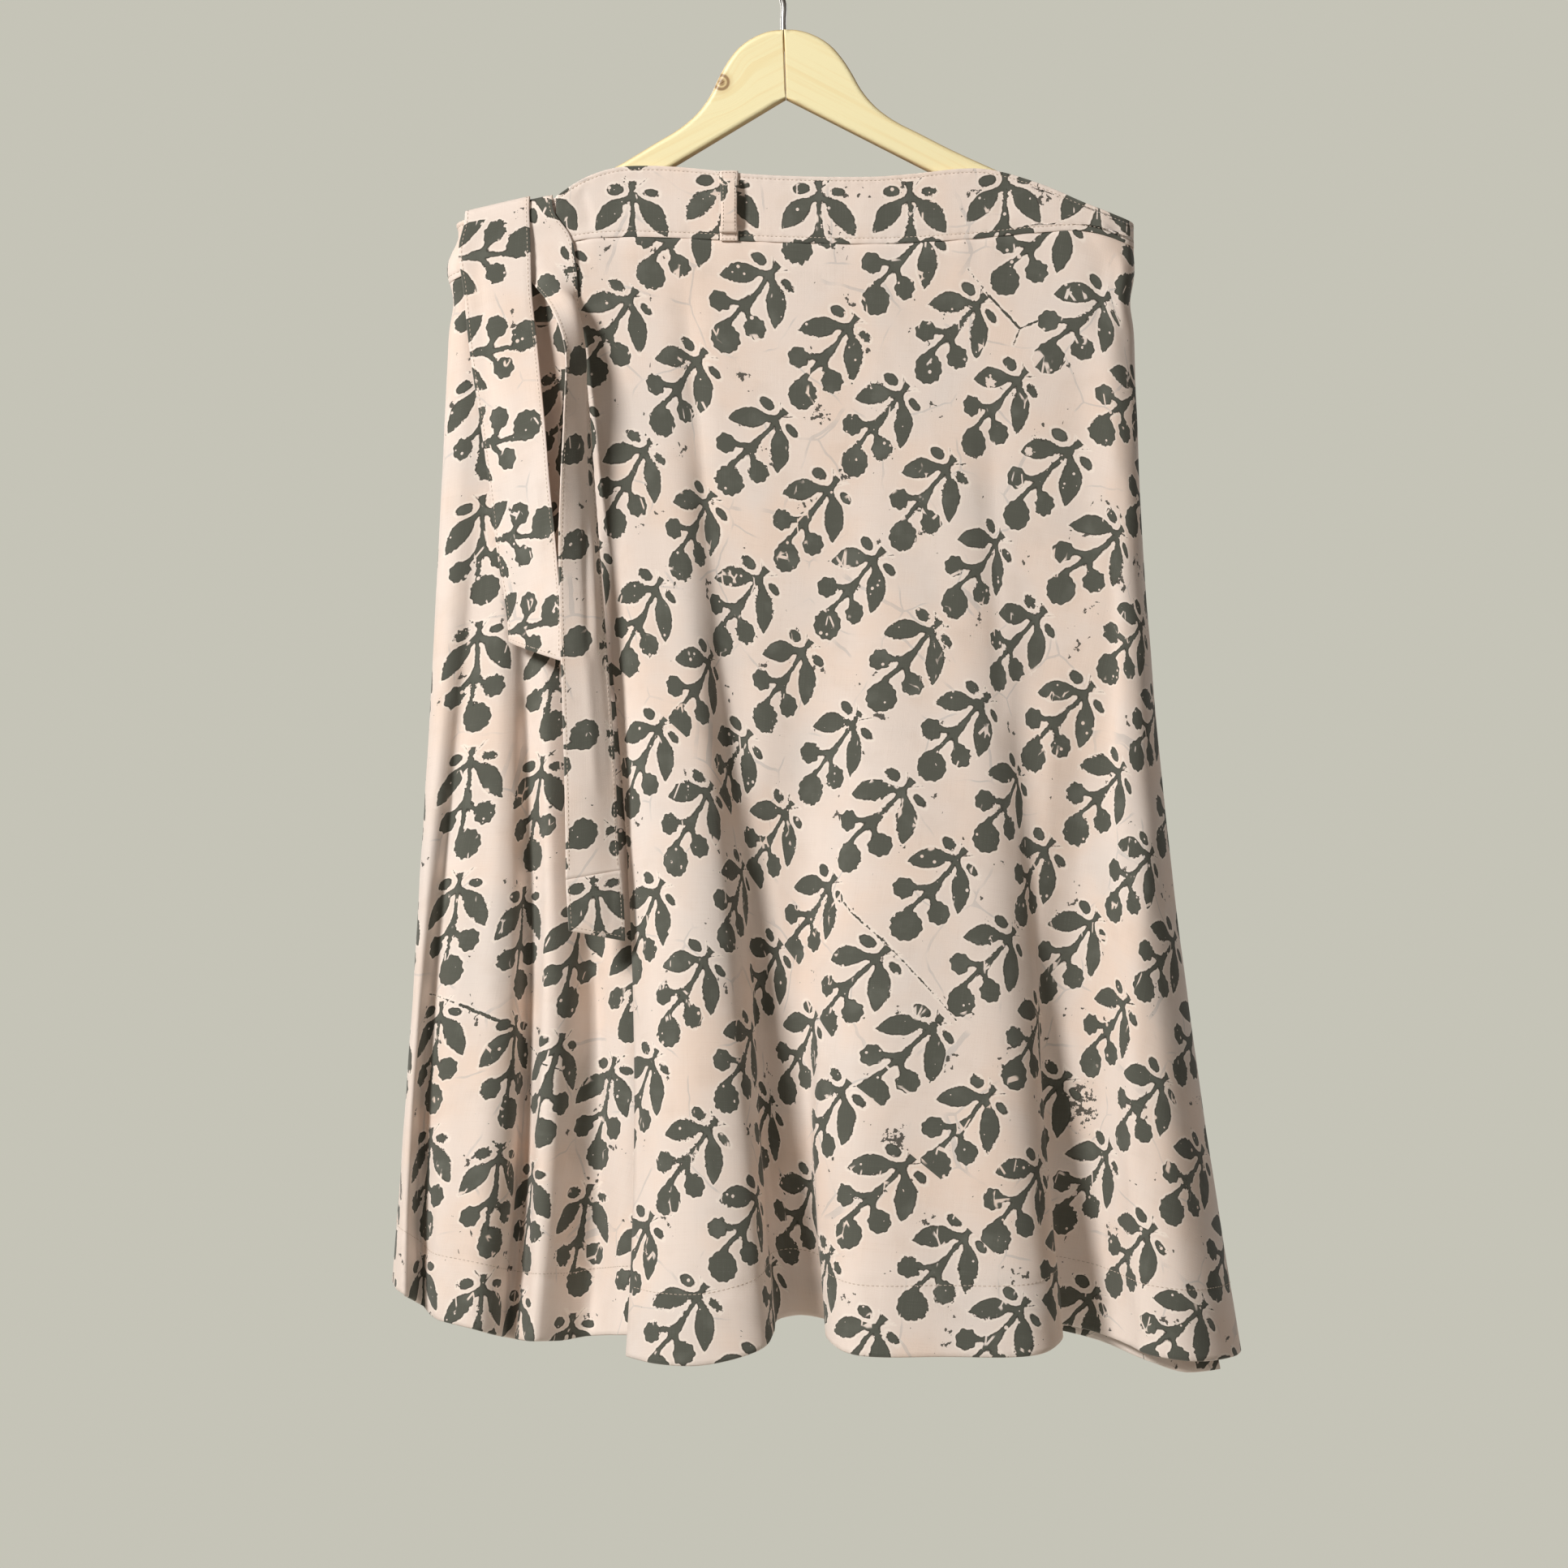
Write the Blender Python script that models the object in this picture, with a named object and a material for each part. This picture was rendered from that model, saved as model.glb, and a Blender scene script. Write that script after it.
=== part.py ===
"""A flared wrap skirt with two ties, hung by its waistband on a wooden hanger.

X runs to the right, Z up, and the front faces -Y. The origin is the inside of the hook's crown.
Cut and sewn sizes are in millimetres; MM turns them into metres when the meshes are made.

The skirt is one long strip wound one and a half turns: it starts at the inner wrap's free edge
near the right side, runs left under the outer wrap, round the left side, across the back, round
the right side and back across the front to the outer wrap's free edge.
"""

import math
from collections import namedtuple

import bmesh
import bpy
from mathutils import Matrix, Vector
from mathutils.geometry import interpolate_bezier

MM = 0.001

# ---------------------------------------------------------------- driving sizes, millimetres
CLOTH = 1.5               # one layer of printed cotton
TURNED_HEM = 2.2          # two layers, along the hem
BAND_CLOTH = 2.2          # waistband, folded double
TIE_CLOTH = 1.4
SEAM_GAP = 0.3            # between any two sewn pieces
WAIST_DROP = 0.5          # the same gap at the waist seam, which runs aslant
HEM_TURN = 0.0587         # share of the skirt's length that is turned up for the hem, 43 mm
HANGER_HALF = 224.4       # middle of the hanger to its tip
HANGER_THICK = 12.0
HANGER_TILT = 2.1         # degrees, right arm up
WIRE = 4.0
HOOK_INSIDE = 20.0        # inner radius of the hook
LOOP_WIDTH = 11.5
LOOP_X = -33.5            # middle of the belt loop
LOOP_TAB = 0.6            # the loop's sewn ends stay this far inside the band's edges

COTTON = (0.80, 0.68, 0.58)
PINE = (0.86, 0.68, 0.36)
STEEL = (0.55, 0.54, 0.52)

# ---------------------------------------------------------------- the skirt's own levels
LEVELS = (0.0, 0.30, 0.65, 1.0)        # waist seam, hip, knee, hem
HEM_LINE = 1 - HEM_TURN
ROWS = (0.0, 0.03, 0.08, 0.16, 0.28, 0.40, 0.52, 0.64, 0.76, 0.87, HEM_LINE - 0.003, HEM_LINE, 1.0)
BAND_ROWS = (1.0, 0.5, 0.0)            # top edge, middle, waist seam
STEPS = 2                              # mesh columns between two neighbouring fold lines

# How far each layer stands from the middle plane, before its folds, at the four levels.
INNER_REST = (11.0, 12.5, 14.5, 17.0)
OUTER_REST = (14.0, 16.0, 19.5, 22.0)
BACK_REST = (11.0, 13.0, 17.0, 22.0)

# Line: a line down the cloth, with x and y at the four levels and the height of the hem there.
Line = namedtuple("Line", "x y hem")
# Flute: a fold that stands out of the rest plane: its middle and half width in x at the four
# levels, how far it stands out there, its hem's height, and how much higher its feet hang.
Flute = namedtuple("Flute", "middle half out hem lift")
# Flat: a line in the rest plane between two flutes.
Flat = namedtuple("Flat", "x hem")

# Across a flute, in half widths at the four levels: where its lines lie and how far out they are.
ROUND = (
    ((-1.0, -1.0, -1.0, -1.0), 0.05),
    ((-0.62, -0.62, -0.62, -0.62), 0.72),
    ((0.0, 0.0, 0.0, 0.0), 1.00),
    ((0.62, 0.62, 0.62, 0.62), 0.72),
    ((1.0, 1.0, 1.0, 1.0), 0.05),
)

LEFT_SEAM = Line((-218.5, -228, -241, -258), (0, 0, 2, 6), -902)
RIGHT_SEAM = Line((235.4, 243, 268, 305), (0, 0, -2, -12), -945)

# Inner wrap, left to right.
INNER_WRAP = (
    Line((-216, -226, -240.5, -256), (-7.5, -9, -9, -9), -904),
    Line((-213.2, -222, -239, -252), (-9.8, -12, -17.5, -25), -905.5),
    Line((-210, -216, -235, -247), (-11, -14.5, -22, -32), -907),
    Line((-205, -209, -231, -242), (-11, -13.5, -17, -22), -911),
    Line((-201, -204, -227.5, -237), (-11, -12, -9, -7), -917.5),
    Line((-197, -200, -222, -231), (-11, -12.2, -13.5, -20), -922),
    Line((-193, -195, -215, -225), (-11, -13.2, -20, -31), -923.7),
    Line((-188, -189, -201, -212), (-11, -14.8, -25, -38), -926),
    Line((-182, -183, -186, -197), (-11, -15.5, -28, -42), -929),
    Line((-176, -177, -177, -189), (-11, -13.5, -24, -34), -932.4),
    Line((-170, -169, -167, -180), (-11, -10, -4, -6), -938.7),
    Line((-165, -163.5, -159, -171), (-11, -11, -15, -23), -937.8),
    Line((-159, -157, -151, -161), (-11, -13, -27, -38), -936.6),
    Line((-154, -151, -143, -152), (-11, -12.7, -22, -31), -937.5),
    Line((-149, -147, -134, -141), (-11, -12.5, -14, -17), -938.9),
    Line((-143, -140, -124, -128), (-11, -12.5, -9.5, -9), -937.3),
    (ROUND, Flute((-112, -104, -88, -80), (25, 29, 30, 38), (0, 3, 10, 34), -930.5, -5)),
    Flat((-10, 0, 10, 16), -914),
    (ROUND, Flute((91, 98, 106, 104), (24, 32, 42, 54), (0, 2, 14, 36), -924, -4)),
    Flat((160, 172, 188, 208), -938),
    Line((186, 210, 226, 241), (-11, -15, -22, -40), -949),
    Line((192, 220, 240, 262), (-11, -16, -30, -62), -953),
    Line((198, 228, 252, 288), (-11, -14, -24, -48), -953.5),
)

# Back panel, left to right.
BACK = (
    Line((-216, -225, -237, -251), (7.5, 9, 13, 20), -907),
    (ROUND, Flute((-150, -158, -168, -182), (25, 30, 36, 44), (0, 5, 20, 40), -924, 8)),
    Flat((-95, -98, -100, -104), -916),
    (ROUND, Flute((-40, -42, -46, -50), (24, 30, 38, 46), (0, 4, 22, 46), -929, 8)),
    Flat((18, 20, 20, 18), -918),
    (ROUND, Flute((78, 84, 92, 98), (25, 32, 40, 48), (0, 5, 18, 38), -930, 7)),
    Flat((132, 142, 155, 168), -924),
    (ROUND, Flute((184, 194, 210, 232), (22, 26, 32, 40), (0, 4, 18, 36), -937, 6)),
    Line((232.5, 240, 262, 298), (9, 10, 14, 12), -943),
)

# Outer wrap, left to right.
OUTER_WRAP = (
    Line((-148, -117, -97, -100), (-14, -20, -34, -62), -943),
    Line((-132, -104, -84, -80), (-14, -24, -50, -80), -945),
    Line((-108, -82, -62, -50), (-14, -26, -58, -88), -945),
    Line((-86, -60, -34, -10), (-14, -25, -53, -80), -935),
    Line((-76, -51, -26, -3), (-14, -21, -36, -54), -929),
    Line((-66, -42, -20, 2), (-14, -17, -19, -25), -923),
    Flat((-20, -10, -6, 13), -921.5),
    Line((30, 26, 14, 33), (-14, -16.2, -20.5, -25), -925),
    Line((48, 46, 30, 30), (-14, -17.5, -31, -54), -931),
    Line((64, 62, 47, 42), (-14, -19.5, -42, -81), -937.3),
    Line((90, 98, 104, 106), (-14, -20, -46.5, -90), -939),
    Line((115.7, 133, 152.7, 172.4), (-14, -19.5, -42.4, -81.8), -937.3),
    Line((123, 142, 163, 185), (-14, -18, -32.5, -56), -932),
    Line((130.3, 150, 167.6, 182.6), (-14, -16.4, -22, -27), -926.4),
    Flat((172, 182, 196, 206), -932),
    Line((204, 216, 219, 228), (-14, -19, -27, -46), -938),
    Line((213, 225, 228, 238), (-14, -21, -35, -66), -941),
    Line((222, 233, 243, 265), (-12.5, -19, -37, -75), -944),
    Line((232.5, 241, 260, 298), (-8.5, -10, -22, -46), -945),
)

# The waistband's two edges: heights at places along x.
Edge = namedtuple("Edge", "x top seam")
BAND_EDGES = (
    Edge(-219, -200.0, -238.0),
    Edge(-190, -193.0, -226.0),
    Edge(-166, -187.5, -219.0),
    Edge(-151, -184.0, -215.0),
    Edge(-126, -168.5, -209.5),
    Edge(-108, -163.5, -208.5),
    Edge(0, -169.0, -212.0),
    Edge(66, -169.5, -213.0),
    Edge(143, -165.0, -208.5),
    Edge(173, -174.5, -205.5),
    Edge(205, -188.0, -205.0),
    Edge(237, -200.0, -215.0),
)

# The hanger's tips press the side of the skirt out, and it falls in again just below them.
Press = namedtuple("Press", "height out reach")
TIP_PRESS = (Press(-231, 3.0, 12), Press(-252, -2.5, 13))

# Ties. Each row is a place down the tie: its left and right edges in x, y and z, and how far
# the middle bows out to the front.
Across = namedtuple("Across", "left right bow")
SHORT_TIE = (
    Across((-212, -16.6, -217), (-165, -19.2, -214), 0),
    Across((-209, -16.8, -244), (-164, -22, -245), 1),
    Across((-205, -17.2, -284), (-160, -26, -284), 1),
    Across((-198, -17.6, -331), (-155, -33, -332), 2),
    Across((-192, -18.2, -375), (-151, -40, -377), 2),
    Across((-186, -19.0, -424), (-146, -45, -425), 2),
    Across((-180, -20.0, -463), (-143, -48, -465), 2),
    Across((-179, -20.0, -478), (-143, -49, -491), 2),
)
LONG_TIE = (
    Across((-192, -13.2, -201), (-150, -15.9, -192), 0),
    Across((-183, -13.8, -214), (-139, -16.8, -209), 0),
    Across((-165, -15.2, -238), (-134, -17.4, -239), 4),
    Across((-152, -33, -255), (-133, -18, -253), 9),
    Across((-140, -52, -284), (-130, -20, -280), 6),
    Across((-140, -55, -332), (-125, -22, -330), 4),
    Across((-142, -55, -372), (-122, -25, -370), 4),
    Across((-143.5, -53, -409), (-119, -29, -408), 4),
    Across((-143, -52, -462), (-115, -35, -460), 4),
    Across((-141.5, -52, -513), (-111, -38, -512), 3),
    Across((-140, -53, -563), (-107.5, -41, -563), 3),
    Across((-139, -54, -618), (-105, -44, -619), 2),
    Across((-139, -54, -633.7), (-104, -45, -627.7), 2),
)
LONG_TIE_END = (
    Across((-139, -54, -634.2), (-104, -45, -628.2), 2),
    Across((-138, -54.5, -652), (-102, -46, -650), 2),
    Across((-137, -55, -667), (-101, -47, -674), 1),
)
# Where each tie goes over the band's top edge: x of its two edges there, how near it comes to
# the middle of the band's cloth, and how far it reaches down inside.
Over = namedtuple("Over", "left right near inside")
TIE_STAND = 0.5           # between a tie and the band it goes over
LONG_OVER = Over(-194, -151, BAND_CLOTH / 2 + TIE_STAND, 11.0)
SHORT_OVER = Over(-208, -166, LONG_OVER.near + TIE_CLOTH + 1.2, 2.5)

# The upper edge of the hanger's arm from the middle out, and the straight lower edge.
ARM_TOP = (
    (0, -70.4), (8, -70.8), (18.5, -74), (30, -81.2), (38.5, -91.3), (44.3, -101), (50, -112),
    (59, -123.6), (70.5, -133), (88, -142.8), (108, -154), (141, -170.5), (178, -189.8), (204, -204),
)
NOTCH = -116.2            # underside of the hanger at its middle
ARM_FALL = 0.555          # fall of the underside for each step out
TIP_ROUND = 20.0
WOOD_EDGE = 2.6           # rounding of the wood's edges


# ---------------------------------------------------------------- small helpers
def clear_scene():
    for thing in list(bpy.data.objects):
        bpy.data.objects.remove(thing, do_unlink=True)


def finish(name, colour, roughness, metallic):
    material = bpy.data.materials.new(name)
    material.use_nodes = True
    shader = material.node_tree.nodes["Principled BSDF"]
    shader.inputs["Base Color"].default_value = (*colour, 1.0)
    shader.inputs["Roughness"].default_value = roughness
    shader.inputs["Metallic"].default_value = metallic
    material.diffuse_color = (*colour, 1.0)
    return material


def place(name, mesh, material):
    thing = bpy.data.objects.new(name, mesh)
    thing.data.materials.append(material)
    bpy.context.scene.collection.objects.link(thing)
    return thing


def at_level(values, t):
    """The cubic through four values that stand at LEVELS."""
    total = 0.0
    for i, value in enumerate(values):
        share = 1.0
        for j, level in enumerate(LEVELS):
            if j != i:
                share *= (t - level) / (LEVELS[i] - level)
        total += value * share
    return total


def slopes_of(points):
    """The direction of a smooth curve at each of its points, for uneven steps."""
    steps = [max((b - a).length, 1e-6) for a, b in zip(points, points[1:])]
    chords = [(b - a) / step for a, b, step in zip(points, points[1:], steps)]
    slopes = [chords[0]]
    for i in range(1, len(chords)):
        before, after = steps[i - 1], steps[i]
        slopes.append((chords[i - 1] * after + chords[i] * before) / (before + after))
    slopes.append(chords[-1])
    return steps, slopes


def smooth_row(points, per):
    """A smooth row through the points, with `per` steps between neighbours."""
    steps, slopes = slopes_of(points)
    row = []
    for i, step in enumerate(steps):
        for k in range(per):
            f = k / per
            row.append(
                points[i] * (2 * f**3 - 3 * f**2 + 1)
                + slopes[i] * (step * (f**3 - 2 * f**2 + f))
                + points[i + 1] * (3 * f**2 - 2 * f**3)
                + slopes[i + 1] * (step * (f**3 - f**2))
            )
    row.append(points[-1].copy())
    return row


def outward(grid):
    """Unit normals of a grid of rows, each row running along the cloth and the next one lower."""
    normals = []
    for j, row in enumerate(grid):
        above = grid[max(j - 1, 0)]
        below = grid[min(j + 1, len(grid) - 1)]
        line = []
        for i in range(len(row)):
            along = row[min(i + 1, len(row) - 1)] - row[max(i - 1, 0)]
            line.append(along.cross(below[i] - above[i]).normalized())
        normals.append(line)
    return normals


def inside_of(grid, normals, thick_at):
    """The inner face of a wall: the grid moved in by the thickness at each row."""
    return [
        [point - normal * thick_at(j) for point, normal in zip(row, line)]
        for j, (row, line) in enumerate(zip(grid, normals))
    ]


def wall(name, outer, inner, material):
    """One closed wall between two grids, cut into matching triangles on both faces."""
    rows, columns = len(outer), len(outer[0])
    shell = bmesh.new()
    faces = [[[shell.verts.new(p * MM) for p in row] for row in grid] for grid in (outer, inner)]
    for j in range(rows - 1):
        for i in range(columns - 1):
            for side in faces:
                a, b = side[j][i], side[j][i + 1]
                c, d = side[j + 1][i + 1], side[j + 1][i]
                shell.faces.new((a, b, c))
                shell.faces.new((a, c, d))
    rim = [(0, i) for i in range(columns)]
    rim += [(j, columns - 1) for j in range(1, rows)]
    rim += [(rows - 1, i) for i in range(columns - 2, -1, -1)]
    rim += [(j, 0) for j in range(rows - 2, 0, -1)]
    for (j, i), (l, k) in zip(rim, rim[1:] + rim[:1]):
        shell.faces.new((faces[0][j][i], faces[1][j][i], faces[1][l][k], faces[0][l][k]))
    bmesh.ops.recalc_face_normals(shell, faces=shell.faces[:])
    mesh = bpy.data.meshes.new(name)
    shell.to_mesh(mesh)
    shell.free()
    return place(name, mesh, material)


# ---------------------------------------------------------------- hanger
def arm_outline():
    """One arm from the middle joint round its tip and back along the underside, in X and Z."""
    top = [Vector((x, 0, z)) for x, z in ARM_TOP]
    top = smooth_row(top, 2)
    fall = Vector((1, 0, -ARM_FALL)).normalized()
    low_x = HANGER_HALF - TIP_ROUND
    low = Vector((low_x, 0, NOTCH - ARM_FALL * low_x))
    tip = Vector((HANGER_HALF, 0, (top[-1].z + low.z) / 2 - 4))
    up = Vector((0, 0, TIP_ROUND * 0.3))
    upper = interpolate_bezier(top[-1], top[-1] + fall * TIP_ROUND * 0.6, tip + up, tip, 5)
    lower = interpolate_bezier(tip, tip - up, low + fall * TIP_ROUND * 0.6, low, 5)
    return top + upper[1:] + lower[1:] + [Vector((0, 0, NOTCH))]


def build_hanger(wood, steel):
    """Two mitred halves, glued at the middle, and the wire hook that is screwed into them."""
    tilt = Matrix.Rotation(math.radians(-HANGER_TILT), 4, "Y")
    bore = bmesh.new()
    bmesh.ops.create_cone(
        bore, cap_ends=True, segments=16, depth=24 * MM, radius1=(WIRE / 2 + SEAM_GAP) * MM,
        radius2=(WIRE / 2 + SEAM_GAP) * MM, matrix=Matrix.Translation((0, 0, -74 * MM)),
    )
    bore_mesh = bpy.data.meshes.new("hook_bore")
    bore.to_mesh(bore_mesh)
    bore.free()
    cutter = place("hook_bore", bore_mesh, wood)
    cutter.matrix_world = tilt
    cutter.hide_render = True
    cutter.display_type = "WIRE"
    for name, side in (("hanger_left", -1), ("hanger_right", 1)):
        half = bmesh.new()
        front, back = [], []
        for point in arm_outline():
            x = side * max(point.x, SEAM_GAP / 2)
            front.append(half.verts.new(Vector((x, -HANGER_THICK / 2, point.z)) * MM))
            back.append(half.verts.new(Vector((x, HANGER_THICK / 2, point.z)) * MM))
        half.faces.new(front)
        half.faces.new(back[::-1])
        for i in range(len(front)):
            k = (i + 1) % len(front)
            half.faces.new((front[i], front[k], back[k], back[i]))
        bmesh.ops.recalc_face_normals(half, faces=half.faces[:])
        mesh = bpy.data.meshes.new(name)
        half.to_mesh(mesh)
        half.free()
        arm = place(name, mesh, wood)
        arm.matrix_world = tilt
        edge = arm.modifiers.new("rounded edges", "BEVEL")
        edge.width = WOOD_EDGE * MM
        edge.segments = 2
        edge.limit_method = "ANGLE"
        edge.angle_limit = math.radians(55)
        hole = arm.modifiers.new("hook bore", "BOOLEAN")
        hole.object = cutter
        hole.operation = "DIFFERENCE"
    build_hook(steel, tilt)


def build_hook(steel, tilt):
    """Bent wire: a stem, a short swan neck, and three quarters of a circle over the rail."""
    reach = HOOK_INSIDE + WIRE / 2
    neck = [(0, -84), (0, -66), (0, -50), (-1.6, -46.4), (-6.6, -43), (-12.6, -39.4), (-17.2, -34.8)]
    route = [Vector((x, 0, z)) for x, z in neck]
    for degrees in range(205, -61, -19):
        turn = math.radians(degrees)
        route.append(Vector((reach * math.cos(turn), 0, reach * math.sin(turn) - HOOK_INSIDE)))
    route = smooth_row(route, 2)
    curve = bpy.data.curves.new("hanger_hook", "CURVE")
    curve.dimensions = "3D"
    curve.bevel_depth = WIRE / 2 * MM
    curve.bevel_resolution = 2
    curve.use_fill_caps = True
    line = curve.splines.new("POLY")
    line.points.add(len(route) - 1)
    for spot, point in zip(line.points, route):
        spot.co = (*(point * MM), 1.0)
    hook = bpy.data.objects.new("hanger_hook", curve)
    hook.data.materials.append(steel)
    hook.matrix_world = tilt
    bpy.context.scene.collection.objects.link(hook)


# ---------------------------------------------------------------- the wound strip of cloth
def spread(rows, side, rest):
    """Turns fold rows into lines, for the layer on one side (-1 front, 1 back) at its rest."""
    lines = []
    for row in rows:
        if isinstance(row, Line):
            lines.append(row)
        elif isinstance(row, Flat):
            lines.append(Line(row.x, tuple(side * r for r in rest), row.hem))
        else:
            shape, flute = row
            for places, share in shape:
                x = tuple(m + p * h for m, p, h in zip(flute.middle, places, flute.half))
                y = tuple(side * (r + share * o) for r, o in zip(rest, flute.out))
                lines.append(Line(x, y, flute.hem + (1 - share) * flute.lift))
    return lines


def band_edge(x, part):
    """Height of one edge of the waistband at x, on a smooth line through BAND_EDGES."""
    places = [edge.x for edge in BAND_EDGES]
    heights = [getattr(edge, part) for edge in BAND_EDGES]
    x = min(max(x, places[0]), places[-1])
    k = max(i for i, place_x in enumerate(places[:-1]) if place_x <= x)
    falls = [(b - a) / (q - p) for a, b, p, q in zip(heights, heights[1:], places, places[1:])]
    start = (falls[max(k - 1, 0)] + falls[k]) / 2
    end = (falls[k] + falls[min(k + 1, len(falls) - 1)]) / 2
    step = places[k + 1] - places[k]
    f = (x - places[k]) / step
    return (
        heights[k] * (2 * f**3 - 3 * f**2 + 1) + start * step * (f**3 - 2 * f**2 + f)
        + heights[k + 1] * (3 * f**2 - 2 * f**3) + end * step * (f**3 - f**2)
    )


def tip_press(height):
    return sum(p.out * math.exp(-(((height - p.height) / p.reach) ** 2)) for p in TIP_PRESS)


def strip_lines():
    """All fold lines in order along the strip, and where its seams are among them."""
    inner = spread(INNER_WRAP, -1, INNER_REST)[::-1]
    back = spread(BACK, 1, BACK_REST)
    outer = spread(OUTER_WRAP, -1, OUTER_REST)[::-1]
    lines = inner + [LEFT_SEAM] + back + [RIGHT_SEAM] + outer
    left = len(inner) * STEPS
    right = (len(inner) + 1 + len(back)) * STEPS
    return lines, left, right


def side_share(x):
    """How much a place near either side gives way to the hanger's tip, from -1 to 1."""
    return math.copysign(max(0.0, (abs(x) - 195) / 25) ** 2, x) if abs(x) < 220 else math.copysign(1.0, x)


def skirt_row(lines, t, drop):
    """The strip at level t, from the waist seam (0) down to the hem (1)."""
    points = []
    for line in lines:
        x = at_level(line.x, t)
        seam = band_edge(line.x[0], "seam") - drop * (1 - t)
        z = seam + t * (line.hem - seam)
        points.append(Vector((x + side_share(x) * tip_press(z), at_level(line.y, t), z)))
    return smooth_row(points, STEPS)


def band_row(lines, part):
    """The strip at a share of the waistband's height, 0 at the waist seam and 1 at the top."""
    points = []
    for line in lines:
        seam, top = band_edge(line.x[0], "seam"), band_edge(line.x[0], "top")
        x, y = line.x[0], line.y[0]
        z = seam + part * (top - seam)
        points.append(Vector((x + side_share(x) * tip_press(z), y, z)))
    return smooth_row(points, STEPS)


def draw_in(grid, column, inwards, by):
    """Draws one end column of a grid back towards its neighbour, to open a seam's gap."""
    for row in grid:
        row[column] = row[column] + (row[inwards] - row[column]).normalized() * by


def cut_piece(outer, inner, first, last, open_start, open_end):
    """The stretch of both grids between two columns, drawn in where it meets a neighbour."""
    pair = [[row[first:last + 1] for row in grid] for grid in (outer, inner)]
    for grid in pair:
        if open_start:
            draw_in(grid, 0, 1, SEAM_GAP / 2)
        if open_end:
            draw_in(grid, -1, -2, SEAM_GAP / 2)
    return pair


def build_skirt(cotton):
    """Three panels below the waist seam and the waistband above it, off the same strip."""
    lines, left, right = strip_lines()
    grid = [skirt_row(lines, t, WAIST_DROP) for t in ROWS]
    inner = inside_of(grid, outward(grid), lambda j: TURNED_HEM if ROWS[j] >= HEM_LINE else CLOTH)
    last = len(grid[0]) - 1
    panels = (
        ("under_wrap", 0, left, False, True),
        ("back_panel", left, right, True, True),
        ("over_wrap", right, last, True, False),
    )
    for name, first, end, open_start, open_end in panels:
        wall(name, *cut_piece(grid, inner, first, end, open_start, open_end), cotton)

    band = [band_row(lines, part) for part in BAND_ROWS]
    band_inner = inside_of(band, outward(band), lambda j: BAND_CLOTH)
    wall("waistband", band, band_inner, cotton)


# ---------------------------------------------------------------- ties and belt loop
def over_the_edge(over):
    """The part of a tie that starts inside the band and turns over its top edge."""
    middle = -(INNER_REST[0] - BAND_CLOTH / 2)
    reach = over.near + TIE_CLOTH
    rows = []
    heights = [band_edge(x, "top") for x in (over.left, over.right)]
    for down in (over.inside, over.inside / 2):
        rows.append([Vector((x, middle + reach, top - down))
                     for x, top in zip((over.left, over.right), heights)])
    for degrees in range(0, 181, 36):
        turn = math.radians(degrees)
        rows.append([Vector((x, middle + reach * math.cos(turn), top + reach * math.sin(turn)))
                     for x, top in zip((over.left, over.right), heights)])
    return rows


def build_tie(name, starts, rows, cotton):
    """A flat tie: from inside the band, if it starts there, over the edge and down the front."""
    grid = []
    for left, right in starts:
        grid.append([left, (left + right) / 2, right])
    for row in rows:
        left, right = Vector(row.left), Vector(row.right)
        middle = (left + right) / 2
        side = (right - left).normalized()
        front = Vector((side.y, -side.x, 0)).normalized()
        grid.append([left, middle + front * row.bow, right])
    grid = [smooth_row(line[::-1], 2) for line in grid]
    wall(name, grid, inside_of(grid, outward(grid), lambda j: TIE_CLOTH), cotton)


def build_loop(cotton):
    """The belt loop: sewn down at the band's top edge and at its seam, standing off between."""
    top = band_edge(LOOP_X, "top") - LOOP_TAB
    seam = band_edge(LOOP_X, "seam") + LOOP_TAB
    outer_band = -OUTER_REST[0]
    stands = (1.7, 1.7, 4.5, 6.5, 7.0, 6.5, 4.5, 1.7, 1.7)
    parts = (0.0, 0.05, 0.12, 0.25, 0.5, 0.75, 0.88, 0.95, 1.0)
    grid = []
    for stand, part in zip(stands, parts):
        z = top + part * (seam - top)
        y = outer_band - stand
        grid.append([Vector((LOOP_X + LOOP_WIDTH / 2, y, z)), Vector((LOOP_X - LOOP_WIDTH / 2, y, z))])
    wall("belt_loop", grid, inside_of(grid, outward(grid), lambda j: TIE_CLOTH), cotton)


def main():
    clear_scene()
    cotton = finish("printed cotton", COTTON, 0.9, 0.0)
    wood = finish("pine", PINE, 0.5, 0.0)
    steel = finish("steel wire", STEEL, 0.3, 1.0)
    build_hanger(wood, steel)
    build_skirt(cotton)
    build_tie("tie_short", over_the_edge(SHORT_OVER), SHORT_TIE, cotton)
    build_tie("tie_long", over_the_edge(LONG_OVER), LONG_TIE, cotton)
    build_tie("tie_long_end", [], LONG_TIE_END, cotton)
    build_loop(cotton)


main()
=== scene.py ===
import math
from collections import namedtuple
from functools import partialmethod

import bpy
import numpy as np
from mathutils import Matrix, Vector


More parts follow.
